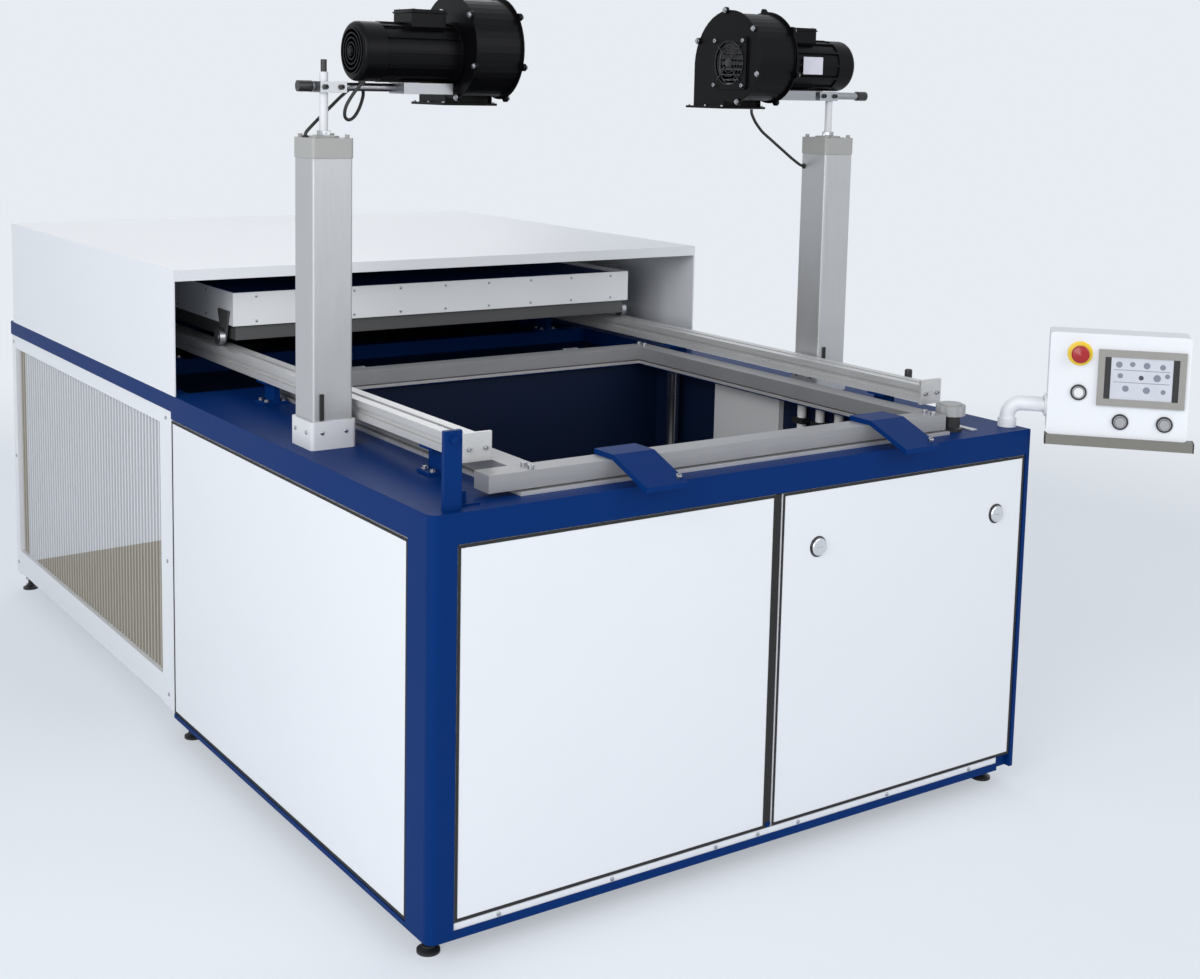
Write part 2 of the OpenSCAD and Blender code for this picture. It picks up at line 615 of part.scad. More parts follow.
// Clamp frame: four bars, hinge knuckles and the rubber seal below
module clamp_frame() color(grey) placed() {
    w = open_w / 2;
    block([-rail_x - slide_w / 2, clamp_y, clamp_z], [w + bar_w, open_y, clamp_top]);
    block([-w - bar_w, rear_bar_y, clamp_z], [w + bar_w, rear_bar_y + bar_w, clamp_top]);
    both_sides() {
        block([w, open_y, clamp_z], [w + bar_w, rear_bar_y, clamp_top]);
        block([w + 12, open_y, clamp_z - seal_t + still], [w + bar_w - 12, rear_bar_y, clamp_z]);
        translate([hinge_x, 0, 0]) difference() {
            along_x(-15, 15) polygon(concat([[rear_bar_y + bar_w, hinge_z + 13],
                [rear_bar_y + bar_w, hinge_z - 13], [hinge_y, hinge_z - 13]],
                arc([hinge_y, hinge_z], 13, -90, 90, 8)));
            rod_x(-16, 16, hinge_y, hinge_z, hinge_pin_d + 2 * running);
        }
    }
    for (y = [clamp_y + 12, rear_bar_y + 12])
        block([-w - 12, y, clamp_z - seal_t + still], [w + 12, y + bar_w - 24, clamp_z]);
}

// Two blue straps on the front bar, which slope forward over the deck's edge
arm_t = 12;
arm_out = 70;
arm_end_z = table_z + 3;
arm_xs = [arm_left - open_w / 2, open_w / 2 - arm_right];
module clamp_arms() color(blue) placed() for (x = arm_xs) along_x(x - arm_w / 2, x + arm_w / 2) polygon([
    [-arm_out, arm_end_z], [clamp_y - 4, clamp_top], [open_y + 6, clamp_top], [open_y + 6, clamp_top + arm_t],
    [clamp_y - 6, clamp_top + arm_t], [-arm_out, arm_end_z + arm_t]]);

// Heater: white band, blue top inside it, bright skirt and reflector
module heater_case() color(white) placed() {
    w = heater_w / 2;
    y1 = heater_y + heater_l;
    block([-w, heater_y, band_z], [w, heater_y + 4, band_z + band_h]);
    block([-w, y1 - 4, band_z], [w, y1, band_z + band_h]);
    both_sides() block([w - 4, heater_y + 4, band_z], [w, y1 - 4, band_z + band_h]);
}
module heater_top() color(dark_blue) placed()
    block([-heater_w / 2 + 4, heater_y + 4, band_z + band_h - 24],
        [heater_w / 2 - 4, heater_y + heater_l - 4, band_z + band_h - 12]);

roller_ys = [heater_y + 60, heater_y + heater_l - 80];
axle_d = 12;
axle_z = slide_top + roller_r;
module heater_chassis() color("#aeb2b6") placed() {
    w = heater_w / 2 - 12;
    y0 = heater_y + 12;
    y1 = heater_y + heater_l - 12;
    z0 = band_z - skirt_h;
    block([-w, y0, z0], [w, y0 + 3, band_z]);
    block([-w, y1 - 3, z0], [w, y1, band_z]);
    both_sides() block([w - 3, y0 + 3, z0], [w, y1 - 3, band_z]);
    block([-w - 8, y0 - 8, band_z], [w + 8, y1 + 8, band_z + 3]);
    both_sides() for (y = roller_ys) difference() {
        along_x(heater_w / 2, heater_w / 2 + 6) polygon(concat([[y - 40, band_z + 40], [y - 16, axle_z]],
            arc([y, axle_z], 16, 180, 360, 8), [[y + 40, band_z + 40]]));
        rod_x(heater_w / 2 - 1, heater_w / 2 + 7, y, axle_z, axle_d + 2 * running);
    }
}

// Quartz heating tubes under the reflector, each in two end caps
module heater_elements() color("#d9d2c6") placed() {
    w = heater_w / 2 - 60;
    pitch = (heater_l - 160) / (tube_count - 1);
    for (i = [0 : tube_count - 1]) {
        y = heater_y + 80 + i * pitch;
        rod_x(-w, w, y, band_z - 18, 14);
        for (x = [-w, 0, w]) block([x - 10, y - 12, band_z - 30], [x + 10, y + 12, band_z]);
    }
}

// Grooved rollers on the slide rails, one pair on each axle line
module rollers(y) color(steel) placed() both_sides() translate([heater_w / 2 + 6 + still, y, axle_z])
    rotate([0, 90, 0]) {
        rotate_extrude($fn = 64) polygon([[0, 0], [12, 0], [12, 1], [roller_r - still, 1],
            [roller_r - still, 17], [12, 17], [12, 18], [0, 18]]);
        translate([0, 0, -6 - 2 * still]) cylinder(h = 7, d = axle_d, $fn = 32);
    }
module heater_rollers_front() rollers(roller_ys[0]);
module heater_rollers_rear() rollers(roller_ys[1]);

// Forming table, its ribbed carriage with bearing bushes, and the lift rod
platen_x = open_w / 2 - 22;
module forming_platen() color(black) placed() difference() {
    block([-platen_x, open_y + 22, platen_z - platen_t], [platen_x, rear_bar_y - 22, platen_z]);
    for (x = [-1, 1], y = [-1, 1])
        rod_z(platen_z - platen_t - 1, platen_z + 1, x * tool_x / 2, mid_platen_y + y * tool_y / 2, tool_d);
    for (x = [-3 : 3], y = [-3 : 3])
        rod_z(platen_z - platen_t - 1, platen_z + 1, x * 140, mid_platen_y + y * 140, 5);
}
module platen_carriage() color("#3a4048") placed() {
    z1 = platen_z - platen_t;
    z0 = z1 - 50;
    for (y = column_ys) difference() {
        union() {
            block([-column_x, y - 30, z0], [column_x, y + 30, z1]);
            both_sides() rod_z(z0 - 20, z1 + 6, column_x, y, column_d + 34);
        }
        both_sides() rod_z(z0 - 21, z1 + 7, column_x, y, column_d + 2 * running);
    }
    for (x = [-320, 280]) block([x, column_ys[0] + 30, z0], [x + 40, column_ys[1] - 30, z1]);
    block([-280, mid_platen_y - 60, z0], [280, mid_platen_y + 60, z0 + 20]);
}
module lift_rod() color("#c9ccd0") placed() {
    rod_z(cylinder_top - platen_lift - 40, platen_z - platen_t - 50, 0, mid_platen_y, rod_d);
}

// Fan: the rods and clamps, the hollow scroll housing, motor and wheel
cross_height = table_z + fan_post_h + cross_z;
cross_off = fan_rod_d + 4;
rod_out = 450;
grip_l = 34;
outlet_in = 34;
outlet_drop = 122;
flange_x = scroll_w + 20;
scroll_t = 3;
rim = 8;
throat = 14;
fin_h = 5;
mount_l = 12;
bell_l = 60;
shaft_d = 14;
inlet_d = 118;
inlet_plate = 140;
hanger_in = scroll_w / 2 + mount_l + 2;
hanger_l = 130;

// Point of the housing's spiral, which grows from the cut-off to the outlet
function spiral(grow, t) = let (
    start = acos((outlet_in - grow) / (wheel_r + throat + grow)), a = -start - (360 - start) * t)
    (wheel_r + throat + (scroll_r - wheel_r - throat) * t + grow) * [cos(a), sin(a)];
function scroll_outline(grow, below) = concat([[outlet_in - grow, -outlet_drop - below]],
    [for (i = [0 : 36]) spiral(grow, i / 36)], [[scroll_r + grow, -outlet_drop - below]]);

// Places a fan's own frame: its shaft along the width, outwards from the middle
module fan_at(side, reach) placed() mirror([side < 0 ? 1 : 0, 0, 0])
    translate([fan_post_x - reach, fan_post_y, cross_height + fan_rise]) children();

// Housing: side plates with a rim, five bolted ears on it, the outlet's flange and the inlet's plate
module scroll_housing(side, reach) color(black) fan_at(side, reach) difference() {
    w = scroll_w / 2;
    union() {
        along_x(-w, w) polygon(scroll_outline(0, 0));
        for (x = [-w, w - scroll_t]) along_x(x, x + scroll_t) polygon(scroll_outline(rim, 0));
        for (t = [0.12, 0.32, 0.52, 0.72, 0.92]) let (p = spiral(rim, t))
            for (x = [-w - 5, w - scroll_t]) rod_x(x, x + scroll_t + 5, p[0], p[1], 18);
        block([-flange_x / 2, outlet_in - 16, -outlet_drop], [flange_x / 2, scroll_r + 30, -outlet_drop + 6]);
        along_x(-w - 6, -w) polygon(round_box(inlet_plate, inlet_plate, 10));
    }
    along_x(scroll_t - w, w - scroll_t) polygon(scroll_outline(-scroll_t, 1));
    rod_x(-w - 7, scroll_t + 1 - w, 0, 0, inlet_d);
    rod_x(w - scroll_t - 1, w + 1, 0, 0, 30);
}

// Motor: mounting ring, ribbed case, end bell and terminal box
module fan_motor(side, reach) color(black) fan_at(side, reach) {
    x0 = scroll_w / 2;
    bell_x = x0 + motor_l - bell_l;
    difference() {
        union() {
            rod_x(x0, x0 + mount_l, 0, 0, motor_d + 20);
            rod_x(x0 + mount_l, bell_x, 0, 0, motor_d);
            for (i = [0 : 11]) rotate([i * 30, 0, 0])
                block([x0 + mount_l, -3, motor_d / 2 - 1], [bell_x, 3, motor_d / 2 + fin_h]);
            translate([bell_x, 0, 0]) rotate([0, 90, 0]) rotate_extrude($fn = 64)
                polygon(concat([[0, 0], [motor_d / 2 + 4, 0], [motor_d / 2 + 4, bell_l - 14]],
                    arc([motor_d / 2 - 8, bell_l - 12], 12, 0, 90, 5), [[0, bell_l]]));
            block([x0 + 40, -45, motor_d / 2 - 6], [x0 + 130, 45, motor_d / 2 + 35]);
        }
        rod_x(x0 - 1, x0 + 60, 0, 0, shaft_d + 2 * running);
    }
}

// Wheel: back disc on the motor's shaft, forward-curved blades and a front ring
module fan_impeller(side, reach) color(steel) fan_at(side, reach) {
    disc_x = scroll_w / 2 - 22;
    ring_x = 12 - scroll_w / 2;
    rod_x(disc_x, scroll_w / 2 + 56, 0, 0, shaft_d);
    difference() {
        rod_x(disc_x, disc_x + 4, 0, 0, 2 * wheel_r);
        rod_x(disc_x - 1, disc_x + 5, 0, 0, shaft_d);
    }
    difference() {
        rod_x(ring_x, ring_x + 4, 0, 0, 2 * wheel_r);
        rod_x(ring_x - 1, ring_x + 5, 0, 0, 2 * wheel_r - 28);
    }
    for (i = [0 : blade_count - 1]) rotate([i * 360 / blade_count, 0, 0])
        along_x(ring_x + 2, disc_x + 2) polygon([[wheel_r - 13, -3], [wheel_r - 6, 0], [wheel_r - 1, 5],
            [wheel_r - 2, 6.5], [wheel_r - 7, 2], [wheel_r - 14, -1]]);
}

// Cross rod with its thick end, and the block on it that carries the motor
module fan_hanger(side, reach) color("#a9acb0") fan_at(side, reach) {
    rod_x(hanger_in + 20, rod_out - grip_l, cross_off, -fan_rise, fan_rod_d);
    rod_x(rod_out - grip_l, rod_out, cross_off, -fan_rise, fan_rod_d + 6);
    difference() {
        block([hanger_in, -36, -fan_rise - 14],
            [hanger_in + hanger_l, cross_off + 16, -motor_d / 2 - fin_h - still]);
        rod_x(hanger_in + 20, hanger_in + hanger_l + 1, cross_off, -fan_rise, fan_rod_d);
    }
}

// Clamp that holds the cross rod on the vertical rod
module cross_clamp(side) color("#9da1a5") placed() mirror([side < 0 ? 1 : 0, 0, 0])
    translate([fan_post_x, fan_post_y, cross_height]) difference() {
        block([-50, -18, -14], [16, cross_off + 18, 11.5]);
        translate([0, 0, -15]) cylinder(h = 30, d = fan_rod_d + 2 * running, $fn = 48);
        rod_x(-51, 17, cross_off, 0, fan_rod_d);
    }
module cross_clamp_left() cross_clamp(-1);
module cross_clamp_right() cross_clamp(1);
module fan_hanger_left() fan_hanger(-1, reach_left);
module fan_hanger_right() fan_hanger(1, reach_right);
module fan_scroll_left() scroll_housing(-1, reach_left);
module fan_scroll_right() scroll_housing(1, reach_right);
module fan_motor_left() fan_motor(-1, reach_left);
module fan_motor_right() fan_motor(1, reach_right);
module fan_impeller_left() fan_impeller(-1, reach_left);
module fan_impeller_right() fan_impeller(1, reach_right);

// Short leads of the fans, swept along points chosen by hand
lead_d = 8;
lead_left = [[-681, 690, 1794.2], [-683, 690.5, 1788], [-697, 693, 1771], [-709, 697, 1752],
    [-717, 701, 1733], [-716, 706, 1714], [-705, 710, 1706], [-690, 715, 1711],
    [-675, 722, 1726], [-661, 731, 1748], [-652, 741, 1769], [-657, 748, 1783],
    [-676, 750, 1780], [-705, 747, 1760], [-733, 739, 1738], [-762, 730, 1716],
    [-788, 722, 1695], [-806, 716, 1680], [-811, 714, 1672], [-811, 714, 1666.3]];
lead_right = [[517, 730, 1741.2], [517.2, 730, 1732], [523, 730, 1720], [534, 731, 1705], [547, 731, 1691],
    [562, 732, 1678], [590, 733, 1660], [616, 734, 1643], [641, 735, 1627], [664, 736, 1612],
    [684, 737, 1600], [704, 738, 1589], [714, 738, 1585], [721.3, 738, 1584]];

function unit(v) = v / norm(v);
function tangent(p, i) = unit(p[min(i + 1, len(p) - 1)] - p[max(i - 1, 0)]);
function ring(p, i, r, n) = let (t = tangent(p, i), u = unit(cross(t, [0, 1, 0.01])), v = cross(t, u))
    [for (k = [0 : n - 1]) p[i] + r * (cos(360 * k / n) * u + sin(360 * k / n) * v)];
module swept(p, r, n = 8) polyhedron(
    points = [for (i = [0 : len(p) - 1]) each ring(p, i, r, n)],
    faces = concat([[for (k = [0 : n - 1]) k]], [[for (k = [n - 1 : -1 : 0]) (len(p) - 1) * n + k]],
        [for (i = [0 : len(p) - 2], k = [0 : n - 1]) [i * n + k, (i + 1) * n + k, (i + 1) * n + (k + 1) % n]],
        [for (i = [0 : len(p) - 2], k = [0 : n - 1])
            [i * n + k, (i + 1) * n + (k + 1) % n, i * n + (k + 1) % n]]));
module fan_lead_left() color(black) placed() swept(lead_left, lead_d / 2);
module fan_lead_right() color(black) placed() swept(lead_right, lead_d / 2);

// Control arm: upright tube, a bend, and the stretch that enters the box
bend_r = 34;
module control_arm() color(white) placed() translate([pivot_x, pivot_y, table_z]) {
    translate([0, 0, still]) cylinder(h = arm_rise - bend_r - still, d = arm_d, $fn = 48);
    rotate([0, 0, arm_turn]) {
        translate([bend_r, 0, arm_rise - bend_r]) rotate([90, 0, 180]) rotate_extrude(angle = 90, $fn = 64)
            translate([bend_r, 0]) circle(d = arm_d, $fn = 48);
        translate([bend_r, 0, arm_rise]) rotate([0, 90, 0])
            cylinder(h = arm_reach - bend_r, d = arm_d, $fn = 48);
    }
}

// Places things on the control box: u to the right, v up, w out of its face
box_low = 66;
module on_box() placed() translate([pivot_x, pivot_y, table_z]) rotate([0, 0, arm_turn])
    translate([arm_reach, -box_d / 2, arm_rise - box_low]) children();
module on_face(u, v) on_box() translate([u, 0, v]) rotate([90, 0, 0]) children();

module control_box() color(white) on_box() {
    difference() {
        translate([box_w / 2, box_d, box_h / 2]) rotate([90, 0, 0]) linear_extrude(box_d)
            polygon(round_box(box_w, box_h, 8));
        for (b = buttons) translate([b[0], -1, b[1]]) rotate([-90, 0, 0])
            cylinder(h = 31, d = stem_d + 2 * running, $fn = 32);
    }
    translate([0, -12, -24 - still]) cube([box_w + 14, 40, 24]);
}

stem_d = 14;
buttons = [[73, box_h - 52], [74, 111], [178, 42], [284, 42]];
screen_u = 118;
screen_v = 82;
module touch_screen() color("#9aa0a6") on_box() translate([screen_u, -8, screen_v]) {
    difference() {
        cube([screen_w, 8, screen_h]);
        translate([16, -1, 18]) cube([screen_w - 32, 4, screen_h - 36]);
    }
}
module button_rings() color(black) {
    for (i = [1 : 3]) on_face(buttons[i][0], buttons[i][1]) difference() {
        cylinder(h = 5, d = button_d, $fn = 48);
        translate([0, 0, -1]) cylinder(h = 7, d = button_d - 14, $fn = 48);
    }
    on_face(buttons[0][0], buttons[0][1]) difference() {
        cylinder(h = 3, d = stop_d, $fn = 64);
        translate([0, 0, -1]) cylinder(h = 5, d = 30, $fn = 48);
    }
}
module button(i, d, proud) on_face(buttons[i][0], buttons[i][1]) {
    translate([0, 0, -24]) cylinder(h = 30, d = stem_d, $fn = 32);
    translate([0, 0, 5]) cylinder(h = proud, d = d, $fn = 48);
}
module stop_button() color("#c8141a") on_face(buttons[0][0], buttons[0][1]) rotate_extrude($fn = 64) polygon(
    concat([[0, -24], [stem_d / 2, -24], [stem_d / 2, 6], [13, 6], [13, 10], [22, 14]],
        arc([17, 22], 5, 0, 70, 4), [[0, 30]]));
module start_button() color(white) button(1, button_d - 16, 4);
module panel_button_left() color("#b0b2b4") button(2, button_d - 16, 4);
module panel_button_right() color("#b0b2b4") button(3, button_d - 16, 4);

front_frame();
table_deck();
rear_frame();
side_guard_left();
side_guard_right();
body_panels();
front_panel();
levelling_feet();
heater_hood();
heater_rails();
rail_brackets();
lower_frame();
well_walls();
heat_shield();
guide_columns();
lift_cylinder();
vacuum_unit();
electrical_cabinet();
fan_posts();
post_fittings();
corner_upright();
arm_base();
regulator_body();
clamp_hinges();
front_door();
door_latch_left();
door_latch_right();
clamp_frame();
clamp_arms();
heater_case();
heater_top();
heater_chassis();
heater_elements();
heater_rollers_front();
heater_rollers_rear();
forming_platen();
platen_carriage();
lift_rod();
cross_clamp_left();
cross_clamp_right();
fan_hanger_left();
fan_hanger_right();
fan_scroll_left();
fan_scroll_right();
fan_motor_left();
fan_motor_right();
fan_impeller_left();
fan_impeller_right();
fan_lead_left();
fan_lead_right();
control_arm();
control_box();
touch_screen();
button_rings();
stop_button();
start_button();
panel_button_left();
panel_button_right();
regulator_knob();
rail_knob();
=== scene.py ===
# %% [markdown]
# # A vacuum forming machine in Blender
#
# The machine is a steel cabinet as large as a small car. A sheet of plastic is clamped over a
# square well in its blue deck, a heater slides out of the white hood and softens it, and a table
# lifts the mould into it from below. Two fans on posts cool the part, and a panel on an arm runs
# the cycle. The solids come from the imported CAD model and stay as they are. These cells give them
# their finishes, and add the small fittings that solids of this size leave out.

import bmesh
import bpy
import numpy as np
from mathutils import Matrix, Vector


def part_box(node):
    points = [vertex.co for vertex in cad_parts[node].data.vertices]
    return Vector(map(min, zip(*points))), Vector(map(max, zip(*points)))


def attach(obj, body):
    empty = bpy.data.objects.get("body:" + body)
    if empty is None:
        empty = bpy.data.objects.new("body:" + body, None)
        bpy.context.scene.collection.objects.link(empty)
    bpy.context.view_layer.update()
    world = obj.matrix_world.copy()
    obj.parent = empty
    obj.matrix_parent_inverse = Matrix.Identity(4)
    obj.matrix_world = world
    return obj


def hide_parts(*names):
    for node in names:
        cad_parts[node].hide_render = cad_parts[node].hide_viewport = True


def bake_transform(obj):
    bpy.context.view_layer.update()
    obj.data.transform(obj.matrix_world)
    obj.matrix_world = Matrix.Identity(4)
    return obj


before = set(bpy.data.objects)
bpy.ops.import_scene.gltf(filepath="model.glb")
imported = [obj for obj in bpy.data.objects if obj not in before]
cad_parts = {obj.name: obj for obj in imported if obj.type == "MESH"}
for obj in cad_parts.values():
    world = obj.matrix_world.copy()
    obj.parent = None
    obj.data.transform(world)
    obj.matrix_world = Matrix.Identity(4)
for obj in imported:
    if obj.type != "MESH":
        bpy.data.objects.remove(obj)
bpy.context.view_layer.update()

# %% [markdown]
# ## Places
#
# Workshop drawings measure this machine from the middle of its front face, in millimetres, and so
# do the cells below. The cabinet frame gives that point, so nothing moves if the frame's origin
# does. The fans and the control box have places of their own: along the shaft for a fan, and
# across, up and out of the face for the box, which hangs on an arm that turns at the deck's right
# front corner.

# %% Millimetres from the front middle
frame_low, frame_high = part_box("front_frame")
FRONT_MIDDLE = np.array([(frame_low.x + frame_high.x) / 2, frame_low.y, 0.0])
TABLE = frame_high.z * 1000
HALF_WIDTH = (frame_high.x - frame_low.x) * 500
LENGTH = (frame_high.y - frame_low.y) * 1000
ARM_TURN = np.radians(-48)
ARM_X, ARM_Y = HALF_WIDTH - 25, 58
BOX_START, BOX_FACE, BOX_FOOT = 96, -45, TABLE - 4
FAN_Y, FAN_Z = 700.0, 1864.0
LEFT_HUB, RIGHT_HUB = -376, 480


def at(*points):
    """Drawing millimetres, divided by 1000 and moved to the front face's middle, in metres."""
    return np.array(points, float).reshape(-1, 3) / 1000 + FRONT_MIDDLE


def on_machine(points):
    """Drawing points stay as they are."""
    return points


def on_box(points):
    """From the control box's face: u along the arm, v upwards, w towards the operator."""
    u, v, w = np.moveaxis(np.asarray(points, float), -1, 0)
    along, out = BOX_START + u, BOX_FACE - w
    return np.stack([ARM_X + along * np.cos(ARM_TURN) - out * np.sin(ARM_TURN),
                     ARM_Y + along * np.sin(ARM_TURN) + out * np.cos(ARM_TURN), BOX_FOOT + v], -1)


def on_left_fan(points):
    """Outwards along the left fan's shaft from the middle of its housing, then back and up."""
    return np.asarray(points, float) * [-1, 1, 1] + [LEFT_HUB, FAN_Y, FAN_Z]


def on_right_fan(points):
    """Outwards along the right fan's shaft from the middle of its housing, then back and up."""
    return np.asarray(points, float) + [RIGHT_HUB, FAN_Y, FAN_Z]


print("deck at", round(TABLE), "mm, half width", round(HALF_WIDTH), "mm")

# %% [markdown]
# ## Camera
#
# The photograph was taken from the left front, from just below the middle of the fans, with the
# upright edges kept nearly upright by moving the lens down its plane. Corners of the cabinet,
# hood and posts, marked in the photograph, gave the lens, the place and the three turns. They ask
# for a lens shift of 0.46 picture widths, but the other views of the machine keep it too, so it
# is 0.16.

# %% Camera
LENS_PIXELS, PHOTO_WIDTH = 1654.3, 1200
SENSOR, LENS_SHIFT = 36.0, -0.16
EYE = at(-2404.7, -2788.4, 1798.6)[0]
HEADING, PITCH, ROLL = np.radians([34.644, 7.322, 1.237])


def looking(heading, pitch, roll):
    """Right, up and back axes of a camera turned by heading from +Y, pitched down, then rolled."""
    ahead = np.array([np.sin(heading) * np.cos(pitch), np.cos(heading) * np.cos(pitch),
                      -np.sin(pitch)])
    level = np.array([np.cos(heading), -np.sin(heading), 0.0])
    upward = np.cross(level, ahead)
    right = np.cos(roll) * level + np.sin(roll) * upward
    return right, np.cross(right, ahead), -ahead


camera_data = bpy.data.cameras.new("camera")
camera_data.sensor_width = SENSOR
camera_data.lens = SENSOR * LENS_PIXELS / PHOTO_WIDTH
camera_data.shift_y = LENS_SHIFT
camera_data.clip_end = 60.0
camera = bpy.data.objects.new("camera", camera_data)
turned_axes = np.eye(4)
turned_axes[:3, :3] = np.array(looking(HEADING, PITCH, ROLL)).T
turned_axes[:3, 3] = EYE
camera.matrix_world = Matrix(turned_axes.tolist())
bpy.context.scene.collection.objects.link(camera)
bpy.context.scene.camera = camera
print("lens", round(camera_data.lens, 2), "mm, eye", EYE.round(3))

# %% [markdown]
# ## Meshes from arrays
#
# A new piece is a grid of points: rows along a path or a profile, columns around it. Neighbours
# on the grid share a face, and the two end rows are closed with a lid. Several such shells can be
# one mesh, as a set of bolts is.

# %% Grid, mesh and piece helpers
def shell(points, wrap=True, lids=True):
    """Points and faces of a grid. A face joins four neighbours, and wrap joins the last column
    to the first."""
    rows, cols = points.shape[:2]
    row, col = np.mgrid[0:rows - 1, 0:cols if wrap else cols - 1]
    after = (col + 1) % cols
    quads = np.stack([row * cols + col, row * cols + after,
                      (row + 1) * cols + after, (row + 1) * cols + col], -1)
    faces = quads.reshape(-1, 4).tolist()
    if lids:
        faces += [list(range(cols))[::-1], list(range((rows - 1) * cols, rows * cols))]
    return points.reshape(-1, 3), faces


def drawn_shell(points, place=on_machine, lids=True):
    """A shell whose grid is in the millimetres of a place."""
    return shell(at(*place(points).reshape(-1, 3)).reshape(points.shape), lids=lids)


def piece(name, shells, material, body, smooth=None):
    """One mesh of several closed shells, with faces outwards, riding on a body if one is given."""
    starts = np.cumsum([0] + [len(points) for points, faces in shells])
    mesh = bpy.data.meshes.new(name)
    mesh.from_pydata(np.concatenate([points for points, faces in shells]).tolist(), [],
                     [[i + start for i in face]
                      for (points, faces), start in zip(shells, starts) for face in faces])
    work = bmesh.new()
    work.from_mesh(mesh)
    bmesh.ops.remove_doubles(work, verts=work.verts, dist=1e-7)
    bmesh.ops.recalc_face_normals(work, faces=work.faces)
    work.to_mesh(mesh)
    work.free()
    if smooth is not None:
        mesh.shade_smooth()
        mesh.set_sharp_from_angle(angle=np.radians(smooth))
    mesh.materials.append(material)
    made = bpy.data.objects.new(name, mesh)
    bpy.context.scene.collection.objects.link(made)
    if body:
        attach(made, body)
    print(f"{name}: {len(mesh.polygons)} faces on {body}")
    return made


def axes_for(direction, up=(0, 0, 1)):
    """Two axes across a direction, as rows u, v, and the direction w itself."""
    w = np.asarray(direction, float) / np.linalg.norm(direction)
    u = np.cross(up if abs(w @ np.asarray(up, float)) < 0.95 else (0, 1, 0), w)
    u /= np.linalg.norm(u)
    return np.array([u, np.cross(w, u), w])


def turned(profile, origin, direction, around=32, place=on_machine):
    """Rings of (radius, height) about a direction: x = r cos t, y = r sin t, z = h. A third
    number n makes a ring a polygon with n sides, r cos(pi/n) / cos((t mod 2 pi/n) - pi/n)."""
    t = np.linspace(0, 2 * np.pi, around, endpoint=False)
    rings = []
    for radius, height, *sides in profile:
        step = np.pi / sides[0] if sides else 0
        reach = radius * (np.cos(step) / np.cos(t % (2 * step) - step) if sides
                          else np.ones(around))
        level = np.full(around, float(height))
        rings.append(np.stack([reach * np.cos(t), reach * np.sin(t), level], -1))
    return drawn_shell(np.asarray(origin, float) + np.array(rings) @ axes_for(direction), place)


def slab(low, high, chamfer=1.0, place=on_machine):
    """A box between two corners, as four loops of its bevelled outline from bottom to top."""
    low, high = np.asarray(low, float), np.asarray(high, float)
    c = min(chamfer, *(high - low) / 3)
    levels = np.array([[low[2], c], [low[2] + c, 0], [high[2] - c, 0], [high[2], c]])
    corner = np.array([[0, 1], [1, 0], [-1, 0], [0, 1], [0, -1], [-1, 0], [1, 0], [0, -1]]) * c
    base = np.array([[low[0], low[1]], [low[0], low[1]], [high[0], low[1]], [high[0], low[1]],
                     [high[0], high[1]], [high[0], high[1]], [low[0], high[1]], [low[0], high[1]]])
    inward = np.sign(np.array([low[0] + high[0], low[1] + high[1]]) / 2 - base)
    outline = (base + corner)[None] + levels[:, 1, None, None] * inward[None]
    heights = np.repeat(levels[:, 0, None, None], 8, 1)
    return drawn_shell(np.concatenate([outline, heights], -1), place)


def tube(path, radius, around=12, place=on_machine):
    """A round tube: at each point of the path a circle stands across the path's direction there.
    A path that ends where it starts gives a closed ring."""
    path = np.asarray(path, float)
    closed = bool(np.allclose(path[0], path[-1]))
    along = np.gradient(path, axis=0)
    if closed:
        along[0] = along[-1] = path[1] - path[-2]
    along /= np.linalg.norm(along, axis=1)[:, None]
    side = np.cross(along, (0.02, 1.0, 0.03))
    side /= np.linalg.norm(side, axis=1)[:, None]
    other = np.cross(along, side)
    t = np.linspace(0, 2 * np.pi, around, endpoint=False)
    around_it = np.cos(t)[None, :, None] * side[:, None] + np.sin(t)[None, :, None] * other[:, None]
    return drawn_shell(path[:, None] + radius * around_it, place, lids=not closed)


def strip_frame(low, high, width, thickness, across):
    """Four strips that frame a rectangle on a plane across one axis, at the plane's near side."""
    low, high = np.asarray(low, float), np.asarray(high, float)
    first, second = [axis for axis in range(3) if axis != across]
    strips = []
    for axis, other in ((first, second), (second, first)):
        for end in (0, 1):
            a, b = low.copy(), high.copy()
            near, far = low[axis], high[axis]
            a[axis], b[axis] = (far - width, far) if end else (near, near + width)
            if axis == first:
                a[other], b[other] = low[other] + width, high[other] - width
            b[across] = a[across] + thickness
            strips.append(slab(a, b, 0.3))
    return strips


print("mesh helpers ready")

# %% [markdown]
# ## Shader arithmetic
#
# A shader is a drawing of nodes, but its sums read better as sums. One small class wraps an
# output and turns the signs of arithmetic into Math nodes, and one method makes every other node.

# %% Shader helpers
class Wire:
    """An output in a shader. Arithmetic on it adds a Math node and gives that node's output."""

    def __init__(self, shader, socket):
        self.shader, self.socket = shader, socket

    def sum(self, operation, *terms):
        return self.shader.node("Math", {"operation": operation}, *terms)

    def __add__(self, other): return self.sum("ADD", self, other)
    def __radd__(self, other): return self.sum("ADD", other, self)
    def __sub__(self, other): return self.sum("SUBTRACT", self, other)
    def __rsub__(self, other): return self.sum("SUBTRACT", other, self)
    def __mul__(self, other): return self.sum("MULTIPLY", self, other)
    def __rmul__(self, other): return self.sum("MULTIPLY", other, self)
    def __pow__(self, other): return self.sum("POWER", self, other)
    def __gt__(self, other): return self.sum("GREATER_THAN", self, other)
    def __lt__(self, other): return self.sum("LESS_THAN", self, other)


